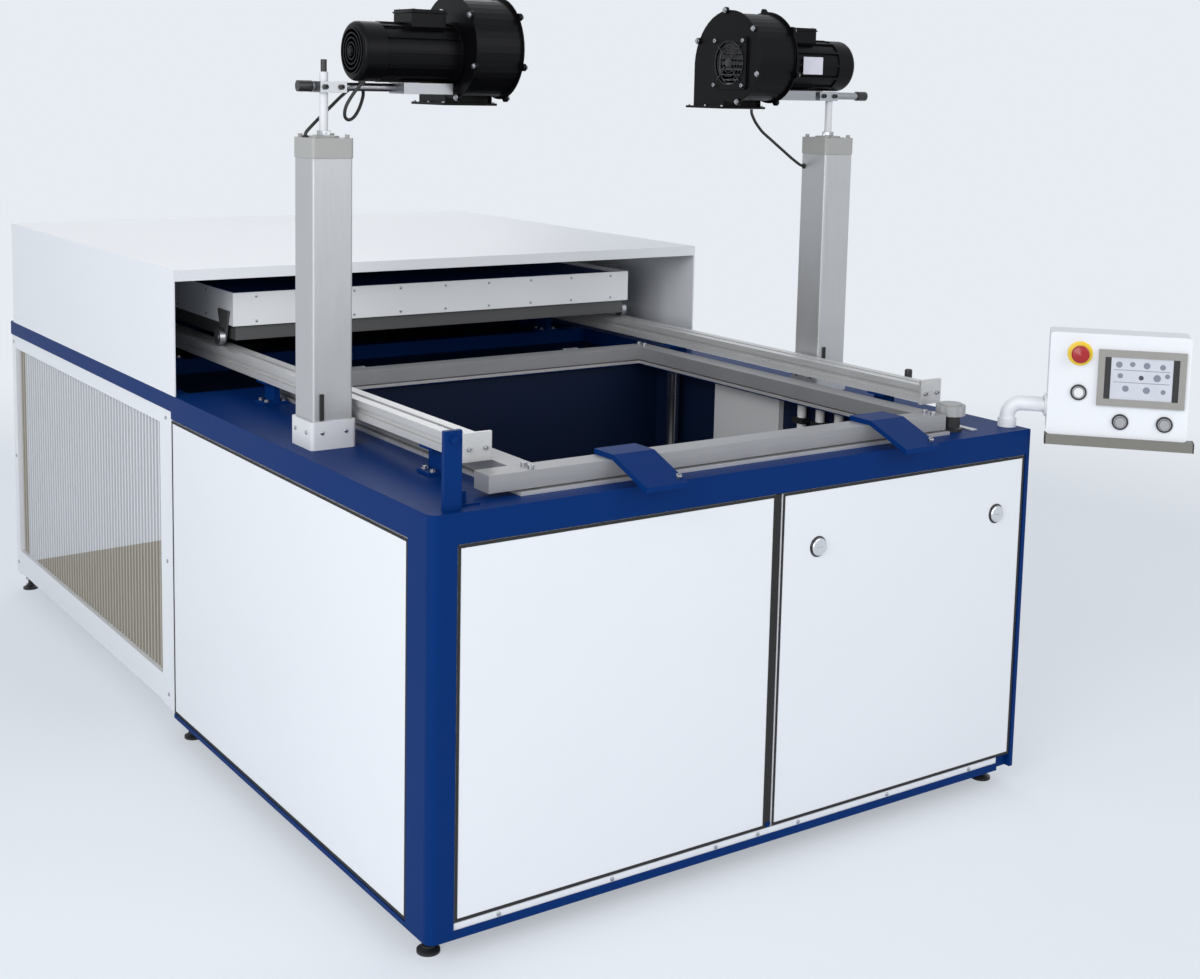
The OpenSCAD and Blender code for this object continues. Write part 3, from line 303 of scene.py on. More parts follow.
class Shader:
    """A material's node tree, its Principled shader and the ways to add to it."""

    def __init__(self, name):
        self.material = bpy.data.materials.new(name)
        self.material.use_nodes = True
        self.tree = self.material.node_tree
        self.surface = self.tree.nodes["Principled BSDF"]

    def node(self, kind, settings, *inputs, output=0, **named):
        """Adds a node of a kind: its settings, then values or links by place or socket name."""
        made = self.tree.nodes.new("ShaderNode" + kind)
        for key, value in settings.items():
            setattr(made, key, value)
        for key, value in [*enumerate(inputs), *named.items()]:
            socket = made.inputs[key.replace("_", " ") if isinstance(key, str) else key]
            self.feed(socket, value)
        return Wire(self, made.outputs[output])

    def feed(self, socket, value):
        if isinstance(value, Wire):
            self.tree.links.new(value.socket, socket)
        else:
            socket.default_value = value

    def set(self, **values):
        for key, value in values.items():
            self.feed(self.surface.inputs[key.replace("_", " ")], value)

    def place(self, scale=(1, 1, 1)):
        """Object coordinates in metres, scaled by a Mapping node."""
        spots = self.node("TexCoord", {}, output=3)
        return self.node("Mapping", {}, Vector=spots, Scale=scale)

    def noise(self, scale, detail=3.0, stretch=(1, 1, 1)):
        return self.node("TexNoise", {}, Vector=self.place(stretch), Scale=scale, Detail=detail)

    def blend(self, factor, first, second):
        """A colour between two colours, by a factor from 0 to 1."""
        made = self.tree.nodes.new("ShaderNodeMix")
        made.data_type = "RGBA"
        for index, value in ((0, factor), (6, first), (7, second)):
            plain = isinstance(value, Wire) or index == 0
            self.feed(made.inputs[index], value if plain else (*value, 1))
        return Wire(self, made.outputs[2])

    def bump(self, height, strength, distance, **more):
        return self.node("Bump", {}, Strength=strength, Distance=distance, Height=height, **more)

    def drawing(self):
        """The three coordinates in the drawing's millimetres, as wires."""
        split = self.tree.nodes.new("ShaderNodeSeparateXYZ")
        self.feed(split.inputs[0], self.place())
        return [(Wire(self, output) - float(middle)) * 1000.0
                for output, middle in zip(split.outputs, FRONT_MIDDLE)]


print("shader helpers ready")

# %% [markdown]
# ## Paints
#
# Powder coat is never quite even: the tone drifts a little over a panel, the skin has an
# orange-peel waviness, and the coat rounds the sheet's edges. The drift and the waviness are
# noise on Object coordinates, and a Bevel node rounds the edges for the light without new faces.
# Where one solid holds parts of two finishes, a plane in the drawing's millimetres parts them.
# The guards' beige zone below a slanting plane and along their rear end is painted shade,
# where less light falls on the bars.

# %% Painted finishes
def painted(name, colour, roughness, peel=0.00012, drift=0.05, shine=0.5, zones=()):
    """Colour times 1 - drift to 1 + drift over the surface, with fine bumps and light-rounded
    edges. Each zone is a test on x, y, z in millimetres and the colour where it is 1."""
    shader = Shader(name)
    broad = shader.noise(2.2, 4.0)
    colour = np.array(colour)
    tone = shader.blend(broad, colour * (1 - drift), np.minimum(colour * (1 + drift), 1.0))
    for test, other in zones:
        tone = shader.blend(test(*shader.drawing()), tone, other)
    edges = shader.node("Bevel", {"samples": 4}, Radius=0.0015)
    skin = shader.bump(shader.noise(260.0, 2.0), 0.5, peel, Normal=edges)
    shader.set(Base_Color=tone, Roughness=broad * 0.12 + (roughness - 0.06), Normal=skin)
    shader.surface.inputs["Specular IOR Level"].default_value = shine
    return shader.material


CAP_TOP, CAP_LOW, TIP = TABLE + 724, TABLE + 670, TABLE + 865
BLUE = painted("blue_powder_coat", (0.0006, 0.024, 0.132), 0.45, shine=0.06)
NAVY = painted("navy_paint", (0.003, 0.009, 0.032), 0.46, shine=0.2)
WHITE = painted("white_powder_coat", (0.74, 0.76, 0.79), 0.42, drift=0.015)
POST_WHITE = painted("post_white", (0.62, 0.63, 0.65), 0.42, drift=0.015, zones=[
    (lambda x, y, z: (z > CAP_LOW - 1) * (z < CAP_TOP), (0.33, 0.33, 0.32)),
    (lambda x, y, z: z > TIP, (0.015, 0.015, 0.015))])
BOX_WHITE = painted("box_white", (0.74, 0.76, 0.79), 0.42, drift=0.015, zones=[
    (lambda x, y, z: z < BOX_FOOT, (0.165, 0.16, 0.14))])
# The heater's band is white paint, set a little brighter than the cabinet's white as painted light
# against the hood's shade.
BAND = painted("heater_white", (0.78, 0.80, 0.82), 0.42, drift=0.02)
SKIRT = painted("skirt_grey", (0.075, 0.076, 0.078), 0.5, drift=0.10)
# Painted shade: the guards turn a darker beige below a slanting plane and along their rear end.
GUARD = painted("guard_grey", (0.62, 0.64, 0.67), 0.50, drift=0.05, zones=[
    (lambda x, y, z: (z < (LENGTH - y) * 0.30 + 90) + (y > LENGTH - 110) > 0,
     (0.36, 0.335, 0.28))])
SLATE = painted("slate_paint", (0.08, 0.10, 0.12), 0.45)
ENAMEL = painted("black_enamel", (0.0015, 0.0015, 0.002), 0.38, peel=0.0003, drift=0.3, shine=0.12)
PLATEN = painted("platen_black", (0.010, 0.010, 0.011), 0.5, shine=0.3)
print("painted finishes:", len(bpy.data.materials))

# %% [markdown]
# ## Bare metal
#
# Drawn aluminium and ground steel carry fine lines along the way they were drawn. Noise that is
# stretched along one axis gives them, in roughness and in a very small bump.

# %% Metal finishes
def drawn(name, colour, roughness, along, lines=0.00006, metallic=1.0, painted_where=None,
          paint=None):
    """Lines along one axis: noise whose coordinates run forty times slower on that axis. A test on
    x, y, z in millimetres can give part of the solid a paint, which isn't metallic."""
    shader = Shader(name)
    stretch = [1.0, 1.0, 1.0]
    stretch["XYZ".index(along)] = 0.025
    grain = shader.noise(420.0, 3.0, stretch)
    patches = shader.noise(7.0, 3.0)
    colour = np.array(colour)
    tone = shader.blend(grain * 0.6 + patches * 0.4, colour * 0.84, np.minimum(colour * 1.1, 1))
    if painted_where:
        covered = painted_where(*shader.drawing())
        tone = shader.blend(covered, tone, paint)
        metallic = (1.0 - covered) * metallic
    edges = shader.node("Bevel", {"samples": 4}, Radius=0.001)
    shader.set(Base_Color=tone, Roughness=grain * 0.18 + patches * 0.1 + (roughness - 0.14),
               Normal=shader.bump(grain, 0.6, lines, Normal=edges), Metallic=metallic)
    return shader.material


BLACK, LIGHT_GREY = (0.010, 0.010, 0.011), (0.60, 0.61, 0.62)
ALUMINIUM_UP = drawn("aluminium_upright", (0.47, 0.475, 0.485), 0.42, "Z", metallic=0.6)
ALUMINIUM_LONG = drawn("aluminium_rail", (0.60, 0.60, 0.60), 0.42, "Y", metallic=0.5)
ZINC_ACROSS = drawn("zinc_across", (0.56, 0.56, 0.57), 0.42, "X", metallic=0.55)
CLAMP_STEEL = drawn("clamp_steel", (0.34, 0.34, 0.35), 0.45, "X", metallic=0.5)
STEEL = drawn("turned_steel", (0.42, 0.43, 0.45), 0.32, "X")
HANGER_STEEL = drawn("hanger_steel", (0.34, 0.345, 0.36), 0.34, "X",
                     painted_where=lambda x, y, z: (x < -791.5) + (x > 895.5), paint=BLACK)
CHROME = drawn("hard_chrome", (0.72, 0.73, 0.75), 0.14, "Z", lines=0.00002)
COLUMN_CHROME = drawn("column_chrome", (0.72, 0.73, 0.75), 0.16, "Z", lines=0.00002,
                      painted_where=lambda x, y, z: (x > 626) * (z > 500), paint=LIGHT_GREY)
print("metal finishes ready")

# %% [markdown]
# ## Plastics, rubber and glass
#
# Moulded plastic has a fine even grain. The touch screen shows a pale page with round signs,
# which stand for the machine's stages and carry no words.

# %% Moulded finishes
def moulded(name, colour, roughness, grain=0.0001, coat=0.0, glow=0.0):
    """One colour with a fine even grain in the bump. A lit part also gives off its own colour."""
    shader = Shader(name)
    fine = shader.noise(900.0, 2.0)
    colour = np.array(colour)
    tone = shader.blend(shader.noise(30.0), colour * 0.92, np.minimum(colour * 1.06, 1))
    shader.set(Base_Color=tone, Roughness=fine * 0.1 + (roughness - 0.05),
               Normal=shader.bump(fine, 0.5, grain))
    shader.surface.inputs["Coat Weight"].default_value = coat
    if glow:
        shader.set(Emission_Color=tone)
        shader.surface.inputs["Emission Strength"].default_value = glow
    return shader.material


BLACK_PLASTIC = moulded("black_plastic", (0.012, 0.012, 0.013), 0.45)
GREY_PLASTIC = moulded("grey_plastic", (0.33, 0.335, 0.34), 0.4)
BEZEL = moulded("bezel_grey", (0.28, 0.275, 0.255), 0.45)
WHITE_PLASTIC = moulded("white_plastic", (0.72, 0.73, 0.74), 0.35)
RED_PLASTIC = moulded("red_plastic", (0.34, 0.003, 0.006), 0.3, coat=0.2)
YELLOW_PLASTIC = moulded("yellow_plastic", (0.80, 0.56, 0.02), 0.4)
CABLE = moulded("cable_sheath", (0.012, 0.012, 0.013), 0.5)
QUARTZ = moulded("quartz_white", (0.62, 0.58, 0.50), 0.25)
RUBBER = moulded("black_rubber", (0.008, 0.008, 0.008), 0.75)
PAGE = moulded("screen_page", (0.52, 0.54, 0.59), 0.25, glow=0.08)
SIGNS = moulded("screen_signs", (0.20, 0.21, 0.26), 0.25, glow=0.05)
DARK_SIGN = moulded("screen_dark_sign", (0.06, 0.06, 0.09), 0.2)
NAMEPLATE = moulded("blank_plate", (0.62, 0.61, 0.68), 0.35)
print("moulded finishes ready")

# %% [markdown]
# ## Finishes on the solids
#
# Every solid of the CAD model keeps its shape and takes a finish in its material slots.

# %% Dress the solids
FINISHES = {
    BLUE: "front_frame table_deck rail_brackets corner_upright clamp_arms heater_top",
    NAVY: "well_walls heat_shield",
    WHITE: "rear_frame body_panels front_panel front_door heater_hood arm_base control_arm",
    POST_WHITE: "post_fittings",
    BOX_WHITE: "control_box",
    BAND: "heater_case",
    SKIRT: "heater_chassis",
    GUARD: "side_guard_left side_guard_right",
    SLATE: "vacuum_unit platen_carriage",
    ENAMEL: "fan_scroll_left fan_scroll_right fan_motor_left fan_motor_right",
    PLATEN: "forming_platen",
    ALUMINIUM_UP: "fan_posts",
    ALUMINIUM_LONG: "heater_rails",
    ZINC_ACROSS: "lower_frame electrical_cabinet fan_impeller_left fan_impeller_right",
    CLAMP_STEEL: "clamp_frame",
    STEEL: "clamp_hinges heater_rollers_front heater_rollers_rear "
           "cross_clamp_left cross_clamp_right",
    HANGER_STEEL: "fan_hanger_left fan_hanger_right",
    CHROME: "lift_cylinder lift_rod door_latch_left door_latch_right",
    COLUMN_CHROME: "guide_columns",
    BLACK_PLASTIC: "levelling_feet regulator_body rail_knob button_rings",
    GREY_PLASTIC: "panel_button_left panel_button_right regulator_knob",
    BEZEL: "touch_screen",
    WHITE_PLASTIC: "start_button",
    RED_PLASTIC: "stop_button",
    QUARTZ: "heater_elements",
    CABLE: "fan_lead_left fan_lead_right",
}


def dress(material, *names):
    for name in names:
        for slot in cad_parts[name].material_slots:
            slot.material = material


for material, names in FINISHES.items():
    dress(material, *names.split())
undressed = set(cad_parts) - set(" ".join(FINISHES.values()).split())
print("dressed", len(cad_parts) - len(undressed), "solids, left:", sorted(undressed))

# %% [markdown]
# ## Screws and bolts
#
# Three kinds hold the machine together: socket head screws where two machined parts meet, hexagon
# bolts on washers for the frame, and pan heads for sheet. Each is a few turned rings, some of
# them hexagonal.

# %% Fasteners
def cap_screw(point, direction, radius, place=on_machine):
    """A round head as high as 1.2 r, with a hexagonal socket that goes down half of it."""
    high = 1.2 * radius
    return turned([(radius, 0), (radius, high * 0.9), (radius * 0.9, high), (radius * 0.5, high, 6),
                   (radius * 0.46, high * 0.45, 6)], point, direction, 24, place)


def hex_bolt(point, direction, radius, place=on_machine):
    """A washer of 1.35 r, and a chamfered hexagon of half width r on it."""
    return turned([(radius * 1.35, 0), (radius * 1.35, radius * 0.25), (radius, radius * 0.25, 6),
                   (radius, radius * 0.85, 6), (radius * 0.9, radius)], point, direction, 24, place)


def pan_screw(point, direction, radius, place=on_machine):
    """A low dome, r wide and 0.55 r high."""
    return turned([(radius, 0), (radius * 0.95, radius * 0.3), (radius * 0.7, radius * 0.48),
                   (radius * 0.3, radius * 0.55)], point, direction, 16, place)


def grid(*axes):
    """Every combination of the values along each axis."""
    meshed = np.meshgrid(*[np.atleast_1d(values) for values in axes], indexing="ij")
    return np.stack(meshed, -1).reshape(-1, len(axes))


UP, DOWN, FORWARD, BACKWARD = (0, 0, 1), (0, 0, -1), (0, -1, 0), (0, 1, 0)
SIDES = (-1, 1)
print("fastener helpers ready")

# %% [markdown]
# ## Seams of the cabinet
#
# Black rubber closes the joint around each outer panel and fills the slot between the front
# panels. From a few steps away these thin dark lines make the white cabinet read as separate
# sheets.

# %% Panel seals and front screws
SEAL = 7.0
PANEL_LOW, PANEL_TOP = 86, 883
FIXED_PANEL, DOOR = (-807, 23), (43, 853)
side_seals = [strip for x in (-HALF_WIDTH + 1, HALF_WIDTH - 2)
              for strip in strip_frame((x, 100, 64), (x, 1446, 881), SEAL, 1.0, across=0)]
front_seal = strip_frame((FIXED_PANEL[0], 1, PANEL_LOW), (FIXED_PANEL[1], 1, PANEL_TOP),
                         SEAL, 1.0, across=1)
slot_filler = slab((FIXED_PANEL[1] + 1, 5, PANEL_LOW - 2), (DOOR[0] - 1, 13.5, PANEL_TOP))
piece("panel_seals", side_seals + front_seal + [slot_filler], RUBBER, "machine")
door_seal = strip_frame((DOOR[0], 1, PANEL_LOW), (DOOR[1], 1, PANEL_TOP), SEAL, 1.0, across=1)
piece("door_seal", door_seal, RUBBER, "door")
# The black rings round the latches are painted shade of the recesses that the latches sit in.
LATCHES = [(x, 2.2, 743) for x in (DOOR[0] + 113, DOOR[1] - 97)]
latch_rings = [turned([(25, 0), (25, 1.2), (21.6, 1.2), (21.6, 0)], latch, FORWARD, 48)
               for latch in LATCHES]
piece("latch_rings", latch_rings, BLACK_PLASTIC, "door", 30)
FLANGE_SCREWS = (-699, -410, -121, 4, 128, 418, 707)
piece("flange_screws", [pan_screw((x, 4, 75), FORWARD, 5) for x in FLANGE_SCREWS],
      STEEL, "machine", 30)

# %% [markdown]
# ## Clamp frame, rails and deck
#
# The clamp bars are bolted at their corners, and the two blue straps end in one screw each over
# the deck's front edge. Each rail bracket stands on four hexagon bolts. Screws in the rails' top
# slots hold them on the two front brackets, and two more close the front end of each rail.

# %% Bolts on the deck
BAR, RAIL, BRACKETS = 592, 671, (330, 1230, LENGTH - 1000, LENGTH - 160)
corners = [cap_screw((side * BAR, y + shift, TABLE + 50), UP, 7)
           for side, y, shift in grid(SIDES, (90, 1315), (-14, 14))]
strap_ends = [cap_screw((x, -52, TABLE + 22), (0, -47, 124), 6.5) for x in (-301, 454)]
piece("clamp_screws", corners + strap_ends, STEEL, "clamp", 30)
bracket_bolts = [hex_bolt((side * (RAIL + across), y + along, TABLE + 6), UP, 6)
                 for side, across, y, along in grid(SIDES, (-22, 24), BRACKETS, (-18, 18))]
slot_screws = [cap_screw((side * RAIL, y + along, TABLE + 96), UP, 5.5)
               for side, y, along in grid(SIDES, BRACKETS[:2], (-14, 14))]
end_screws = [cap_screw((side * RAIL + across, 162, TABLE + 84), FORWARD, 5)
              for side, across in grid(SIDES, (-20, 20))]
piece("rail_bolts", bracket_bolts + slot_screws + end_screws, STEEL, "machine", 30)

# %% [markdown]
# ## Well
#
# Between the clamp bars, light upright rods stand against the well's right wall, beside its light
# cover. The photograph shows them as bright stripes, and small black holders fix each one to the
# wall.

# %% Rods on the well's right wall
RODS = (455, 530, 605)
rods = [turned([(13, 0), (13, 372), (9, 376)], (630, y, 562), UP, 24) for y in RODS]
holders = [slab((612, y - 20, z), (647.5, y + 20, z + 16)) for y, z in grid(RODS, (600, 880))]
piece("wall_rods", rods, WHITE_PLASTIC, "machine", 30)
piece("wall_rod_holders", holders, BLACK_PLASTIC, "machine")

# %% [markdown]
# ## Fan posts
#
# Screws through the boots hold the posts on the deck. A nut locks each vertical rod on its cap, a
# clip on the front face holds a cable, and rubber grommets guard the holes for the fans' leads.

# %% Fittings of the posts
POST_X, BOOT = 772, 57
OUTWARDS = [(0, -1, 0), (0, 1, 0), (-1, 0, 0), (1, 0, 0)]
boot_screws = []
for side, shift in grid(SIDES, (-30, 30)):
    for direction in OUTWARDS:
        face = np.array(direction) * BOOT
        along = np.array([1 - abs(direction[0]), 1 - abs(direction[1]), 0]) * shift
        middle = [side * POST_X, FAN_Y, TABLE + 40]
        boot_screws.append(pan_screw(face + along + middle, direction, 5))
rod_nuts = [turned([(17, 0, 6), (17, 10, 6), (15, 12)], (side * POST_X, FAN_Y, TABLE + 720), UP, 24)
            for side in SIDES]
piece("post_screws", boot_screws + rod_nuts, STEEL, "machine", 30)
clips = [slab((-806, 645, 1018), (-796, 649.9, 1080)), slab((737, 645, 1037), (747, 649.9, 1078))]
grommets = [turned([(7.5, 0), (7.5, 3), (5, 5)], (-811, 714, TABLE + 716), UP, 24),
            turned([(7.5, 0), (7.5, 3), (5, 5)], (722, 738, 1584), (-1, 0, 0), 24)]
piece("post_clips", clips + grommets, RUBBER, "machine", 30)

# %% [markdown]
# ## Fans
#
# A wire guard covers the inlet, in rings on four spokes, on a plate with four screws. Five bolts
# hold the housing's side plates together around its spiral, and the outlet's flange has a row of
# bolts along each edge. Round ribs stiffen the motor's end cover, and the terminal box has its
# lid on four screws.

# %% Guards, bolts and motor details
HALF_FAN, WHEEL, THROAT, SCROLL, RIM, CUT_OFF = 65, 80, 14, 150, 8, 34
MOTOR_END = HALF_FAN + 260
GUARD_RINGS, END_RIBS = (14, 25, 36, 47, 58), (54, 43, 32, 21)


def on_spiral(t):
    """The housing's rim. Its radius grows evenly from the cut-off's angle round to a full turn."""
    start = np.arccos((CUT_OFF - RIM) / (WHEEL + THROAT + RIM))
    angle = -start - (2 * np.pi - start) * t
    radius = WHEEL + THROAT + (SCROLL - WHEEL - THROAT) * t + RIM
    return radius * np.cos(angle), radius * np.sin(angle)


def circle(centre, radius, steps=48):
    """A ring across the shaft: y = r cos t, z = r sin t."""
    t = np.linspace(0, 2 * np.pi, steps + 1)
    t[-1] = 0
    return np.asarray(centre, float) + np.stack([0 * t, radius * np.cos(t), radius * np.sin(t)], -1)


def fan_details(side, place):
    """Guard, bolts and motor details of one fan, in its own place."""
    guard = [tube(circle((-HALF_FAN - 7.6, 0, 0), radius), 1.4, 8, place) for radius in GUARD_RINGS]
    for turn in np.radians([45, 135, 225, 315]):
        spoke = [[-HALF_FAN - 9, r * np.cos(turn), r * np.sin(turn)] for r in (10, 25, 45, 66)]
        guard.append(tube(spoke, 1.6, 8, place))
    guard.append(turned([(12, 0), (12, 1.5), (9, 3)], (-HALF_FAN - 8, 0, 0), (-1, 0, 0), 24, place))
    piece(f"{side}_fan_guard", guard, BLACK_PLASTIC, f"fan_{side}", 40)
    bolts = [cap_screw((-HALF_FAN - 6, y, z), (-1, 0, 0), 5.5, place)
             for y, z in grid((-59, 59), (-59, 59))]
    for y, z in [on_spiral(t) for t in (0.12, 0.32, 0.52, 0.72, 0.92)]:
        bolts += [hex_bolt((end * (HALF_FAN + 5), y, z), (end, 0, 0), 5.5, place) for end in SIDES]
    bolts += [hex_bolt((x, y, -116), UP, 3.4, place) for x, y in grid((-70.2, 70.2), (27, 99, 171))]
    bolts += [pan_screw((x, y, 100), UP, 4.5, place)
              for x, y in grid((HALF_FAN + 48, HALF_FAN + 122), (-37, 37))]
    piece(f"{side}_fan_bolts", bolts, STEEL, f"fan_{side}", 30)
    ribs = [turned([(r, 0), (r, 2.5), (r - 3.5, 2.5), (r - 3.5, 0)],
                   (MOTOR_END, 0, 0), (1, 0, 0), 48, place) for r in END_RIBS]
    ribs.append(turned([(12, 0), (12, 4), (8, 7)], (MOTOR_END, 0, 0), (1, 0, 0), 32, place))
    lid = slab((HALF_FAN + 37, -48, 91), (HALF_FAN + 133, 48, 95), 1.0, place)
    piece(f"{side}_motor_details", ribs + [lid], ENAMEL, f"fan_{side}", 30)


fan_details("left", on_left_fan)
fan_details("right", on_right_fan)
gland = turned([(9.5, 0, 6), (9.5, 5, 6), (7, 7), (7, 10), (4.8, 12)],
               (-681, 690, 1796.5), DOWN, 24)
piece("left_lead_gland", [gland], BLACK_PLASTIC, "fan_left", 30)
piece("right_nameplate", [slab((130, -71.6, -25), (200, -70.1, 22), 0.5, on_right_fan)],
      NAMEPLATE, "fan_right")
piece("left_nameplate", [slab((130, 70.1, -25), (200, 71.6, 22), 0.5, on_left_fan)],
      NAMEPLATE, "fan_left")
clamp_screws = {side: [cap_screw((x, FAN_Y - 18, TABLE + 831), FORWARD, 6) for x in places]
                for side, places in (("left", (-736, -776)), ("right", (736, 776)))}
for side, screws in clamp_screws.items():
    piece(f"{side}_cross_clamp_screws", screws, BLACK_PLASTIC, f"fan_{side}", 30)

# %% [markdown]
# ## Heater
#
# Pan heads along both edges of the white band hold the skirt below it and the top plate inside
# it. They show when the heater is out over the sheet.

# %% Screws of the heater case
HEATER_X, HEATER_Y, BAND_LOW, BAND_HIGH = 668, (1503, 2803), TABLE + 177, TABLE + 246
band_screws = []
for x, z in grid(np.arange(-600, 601, 150), (BAND_LOW, BAND_HIGH)):
    band_screws += [pan_screw((x, HEATER_Y[0], z), FORWARD, 4),
                    pan_screw((x, HEATER_Y[1], z), BACKWARD, 4)]
side_spots = np.arange(HEATER_Y[0] + 200, HEATER_Y[1] - 100, 225)
for side, y, z in grid(SIDES, side_spots, (BAND_LOW, BAND_HIGH)):
    band_screws.append(pan_screw((side * HEATER_X, y, z), (side, 0, 0), 4))
piece("heater_screws", band_screws, STEEL, "heater", 30)

# %% [markdown]
# ## Control box
#
# The emergency stop stands on a yellow disc, and the three buttons have bright rims. The screen
# shows a pale page of round signs between the dark ends of its frame. A flange joins the box to
# the arm, and four screws hold its back.

# %% Screen, buttons and box fittings
SCREEN_LOW, SCREEN_HIGH = (134, 100), (312, 206)
page = slab((*SCREEN_LOW, 5), (*SCREEN_HIGH, 5.4), 0.1, on_box)
piece("screen_page", [page], PAGE, "control")
ends = [slab((u, SCREEN_LOW[1], 5.4), (u + 15, SCREEN_HIGH[1], 6.4), 0.3, on_box)
        for u in (SCREEN_LOW[0], SCREEN_HIGH[0] - 15)]
piece("screen_ends", ends, BLACK_PLASTIC, "control")
SIGN_SPOTS = [(168, 188, 8), (200, 190, 6.5), (234, 188, 8), (272, 186, 7), (172, 160, 6.5),
              (260, 158, 9), (284, 164, 6), (186, 128, 8), (236, 126, 8.5), (276, 124, 6)]
signs = [turned([(radius, 0), (radius, 0.3)], (u, v, 5.4), (0, 0, 1), 32, on_box)
         for u, v, radius in SIGN_SPOTS]
rules = [slab((156, v, 5.4), (290, v + 1.5, 5.6), 0.1, on_box) for v in (143, 174)]
piece("screen_signs", signs + rules, SIGNS, "control")
mark = turned([(6, 0), (6, 0.4)], (222, 157, 5.4), (0, 0, 1), 32, on_box)
piece("screen_mark", [mark], DARK_SIGN, "control")
STOP, BUTTONS = (73, 210), ((74, 111), (178, 42), (284, 42))
stop_disc = turned([(30.6, 0), (30.6, 3), (29.5, 3.6), (15.5, 3.6), (15.5, 3)],
                   (*STOP, 0), (0, 0, 1), 64, on_box)
piece("stop_disc", [stop_disc], YELLOW_PLASTIC, "control", 30)
rims = [turned([(15.6, 0), (15.6, 1.2), (13.2, 1.2), (13.2, 0)], (u, v, 5), (0, 0, 1), 48, on_box)
        for u, v in BUTTONS]
box_screws = [pan_screw((u, v, -90), (0, 0, -1), 5, on_box) for u, v in grid((14, 326), (14, 248))]
flange = turned([(30, 0), (30, 5), (28, 6), (19.3, 6)], (0, 66, BOX_FACE), (-1, 0, 0), 48, on_box)
arm_screws = [cap_screw((-6, 66 + v, BOX_FACE + w), (-1, 0, 0), 3, on_box)
              for v, w in grid((-17, 17), (-17, 17))]
piece("box_metal", rims + box_screws + arm_screws, STEEL, "control", 30)
piece("box_flange", [flange], WHITE_PLASTIC, "control", 30)
bar_ends = [slab((u, -24.8, -28.8), (u + 3, 0.8, 12.8), 1.0, on_box) for u in (-3, 354)]
piece("handle_ends", bar_ends, BLACK_PLASTIC, "control")

# %% [markdown]
# ## Rear section
#
# The sides that the photograph doesn't show have what such machines have there: louvres and
# screws in the rear panel, screws along the hood, and one pipe from the pump to the tank behind
# the guards. Each foot has a lock nut under the frame.

# %% Louvres, pipe and feet
BACK = LENGTH - 2
louvres = []
for x0, z in grid((-560, 160), np.arange(560, 760, 26)):
    rows = [(BACK, z), (BACK + 7, z), (BACK + 8, z + 2), (BACK, z + 16)]
    louvres.append(drawn_shell(np.array([[(x, y, h) for y, h in rows] for x in (x0, x0 + 260)])))
piece("rear_louvres", louvres, WHITE, "machine")
panel_screws = [pan_screw((x, BACK, z), BACKWARD, 5.5)
                for x, z in grid(np.linspace(-790, 790, 6), (90, 480, 880))]
hood_screws = [pan_screw((x, LENGTH - 36, TABLE + 16), BACKWARD, 5)
               for x in np.linspace(-820, 820, 9)]
guard_screws = [pan_screw((side * (HALF_WIDTH - 4), y, z), (side, 0, 0), 5.5)
                for side, y, z in grid(SIDES, (1495, LENGTH - 19), (100, 480, 880))]
pipe_nuts = [turned([(24, 0, 6), (24, 18, 6), (21, 20)], point, direction, 24)
             for point, direction in (((-417, 2230, 318), UP), ((106, 2300, 470), (-1, 0, 0)))]
foot_nuts = [turned([(15, 0, 6), (15, 11, 6), (13, 12)], (side * (HALF_WIDTH - 40), y, 34), UP, 24)
             for side, y in grid(SIDES, (70, 1407, LENGTH - 24))]
piece("rear_screws", panel_screws + hood_screws + guard_screws + foot_nuts + pipe_nuts,
      STEEL, "machine", 30)
PIPE = [(-417, 2230, 300), (-417, 2230, 380), (-417, 2230, 430), (-395, 2236, 462),
        (-350, 2246, 470), (-150, 2272, 470), (40, 2298, 470), (80, 2300, 470), (112, 2300, 470)]


def smooth_path(points, steps):
    """Catmull-Rom curve: between points b and c it leaves along c - a and arrives along d - b."""
    p = np.asarray(points, float)
    p = np.vstack([2 * p[0] - p[1], p, 2 * p[-1] - p[-2]])
    t = np.linspace(0, 1, steps, endpoint=False)[:, None, None]
    a, b, c, d = p[:-3], p[1:-2], p[2:-1], p[3:]
    curve = 0.5 * (2 * b + (c - a) * t + (2 * a - 5 * b + 4 * c - d) * t ** 2
                   + (3 * b - a - 3 * c + d) * t ** 3)
    return np.vstack([curve.transpose(1, 0, 2).reshape(-1, 3), p[-2]])


piece("vacuum_pipe", [tube(smooth_path(PIPE, 5), 15, 20)], ZINC_ACROSS, "machine", 40)

# %% [markdown]
# ## The fans' leads
#
# Each fan has one short black lead. The left one hangs in a loop from the motor and goes into the
# post's cap, and the right one swings down from the housing into the side of its post. A smooth
# curve goes through the points of the CAD route. A lead has one end on its fan and the other in
# its post.

# %% Lead curves
LEAD = 8.0
LEFT_ROUTE = [(-681, 690, 1794.2), (-683, 690.5, 1788), (-697, 693, 1771), (-709, 697, 1752),
              (-717, 701, 1733), (-716, 706, 1714), (-705, 710, 1706), (-690, 715, 1711),
              (-675, 722, 1726), (-661, 731, 1748), (-652, 741, 1769), (-657, 748, 1783),
              (-676, 750, 1780), (-705, 747, 1760), (-733, 739, 1738), (-762, 730, 1716),
              (-788, 722, 1695), (-806, 716, 1680), (-811, 714, 1672), (-811, 714, 1666.3)]
RIGHT_ROUTE = [(517, 730, 1741.2), (517.2, 730, 1732), (523, 730, 1720), (534, 731, 1705),
               (547, 731, 1691), (562, 732, 1678), (590, 733, 1660), (616, 734, 1643),
               (641, 735, 1627), (664, 736, 1612), (684, 737, 1600), (704, 738, 1589),
               (714, 738, 1585), (721.3, 738, 1584)]


def lead(name, route, node):
    path = smooth_path(route, 3)
    made = piece(name, [tube(path, LEAD / 2)], CABLE, None, smooth=40)
    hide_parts(node)
    path = at(*path)
    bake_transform(made)
    length = float(np.linalg.norm(np.diff(path, axis=0), axis=1).sum())
    print(name, "is", round(length, 3), "m long")


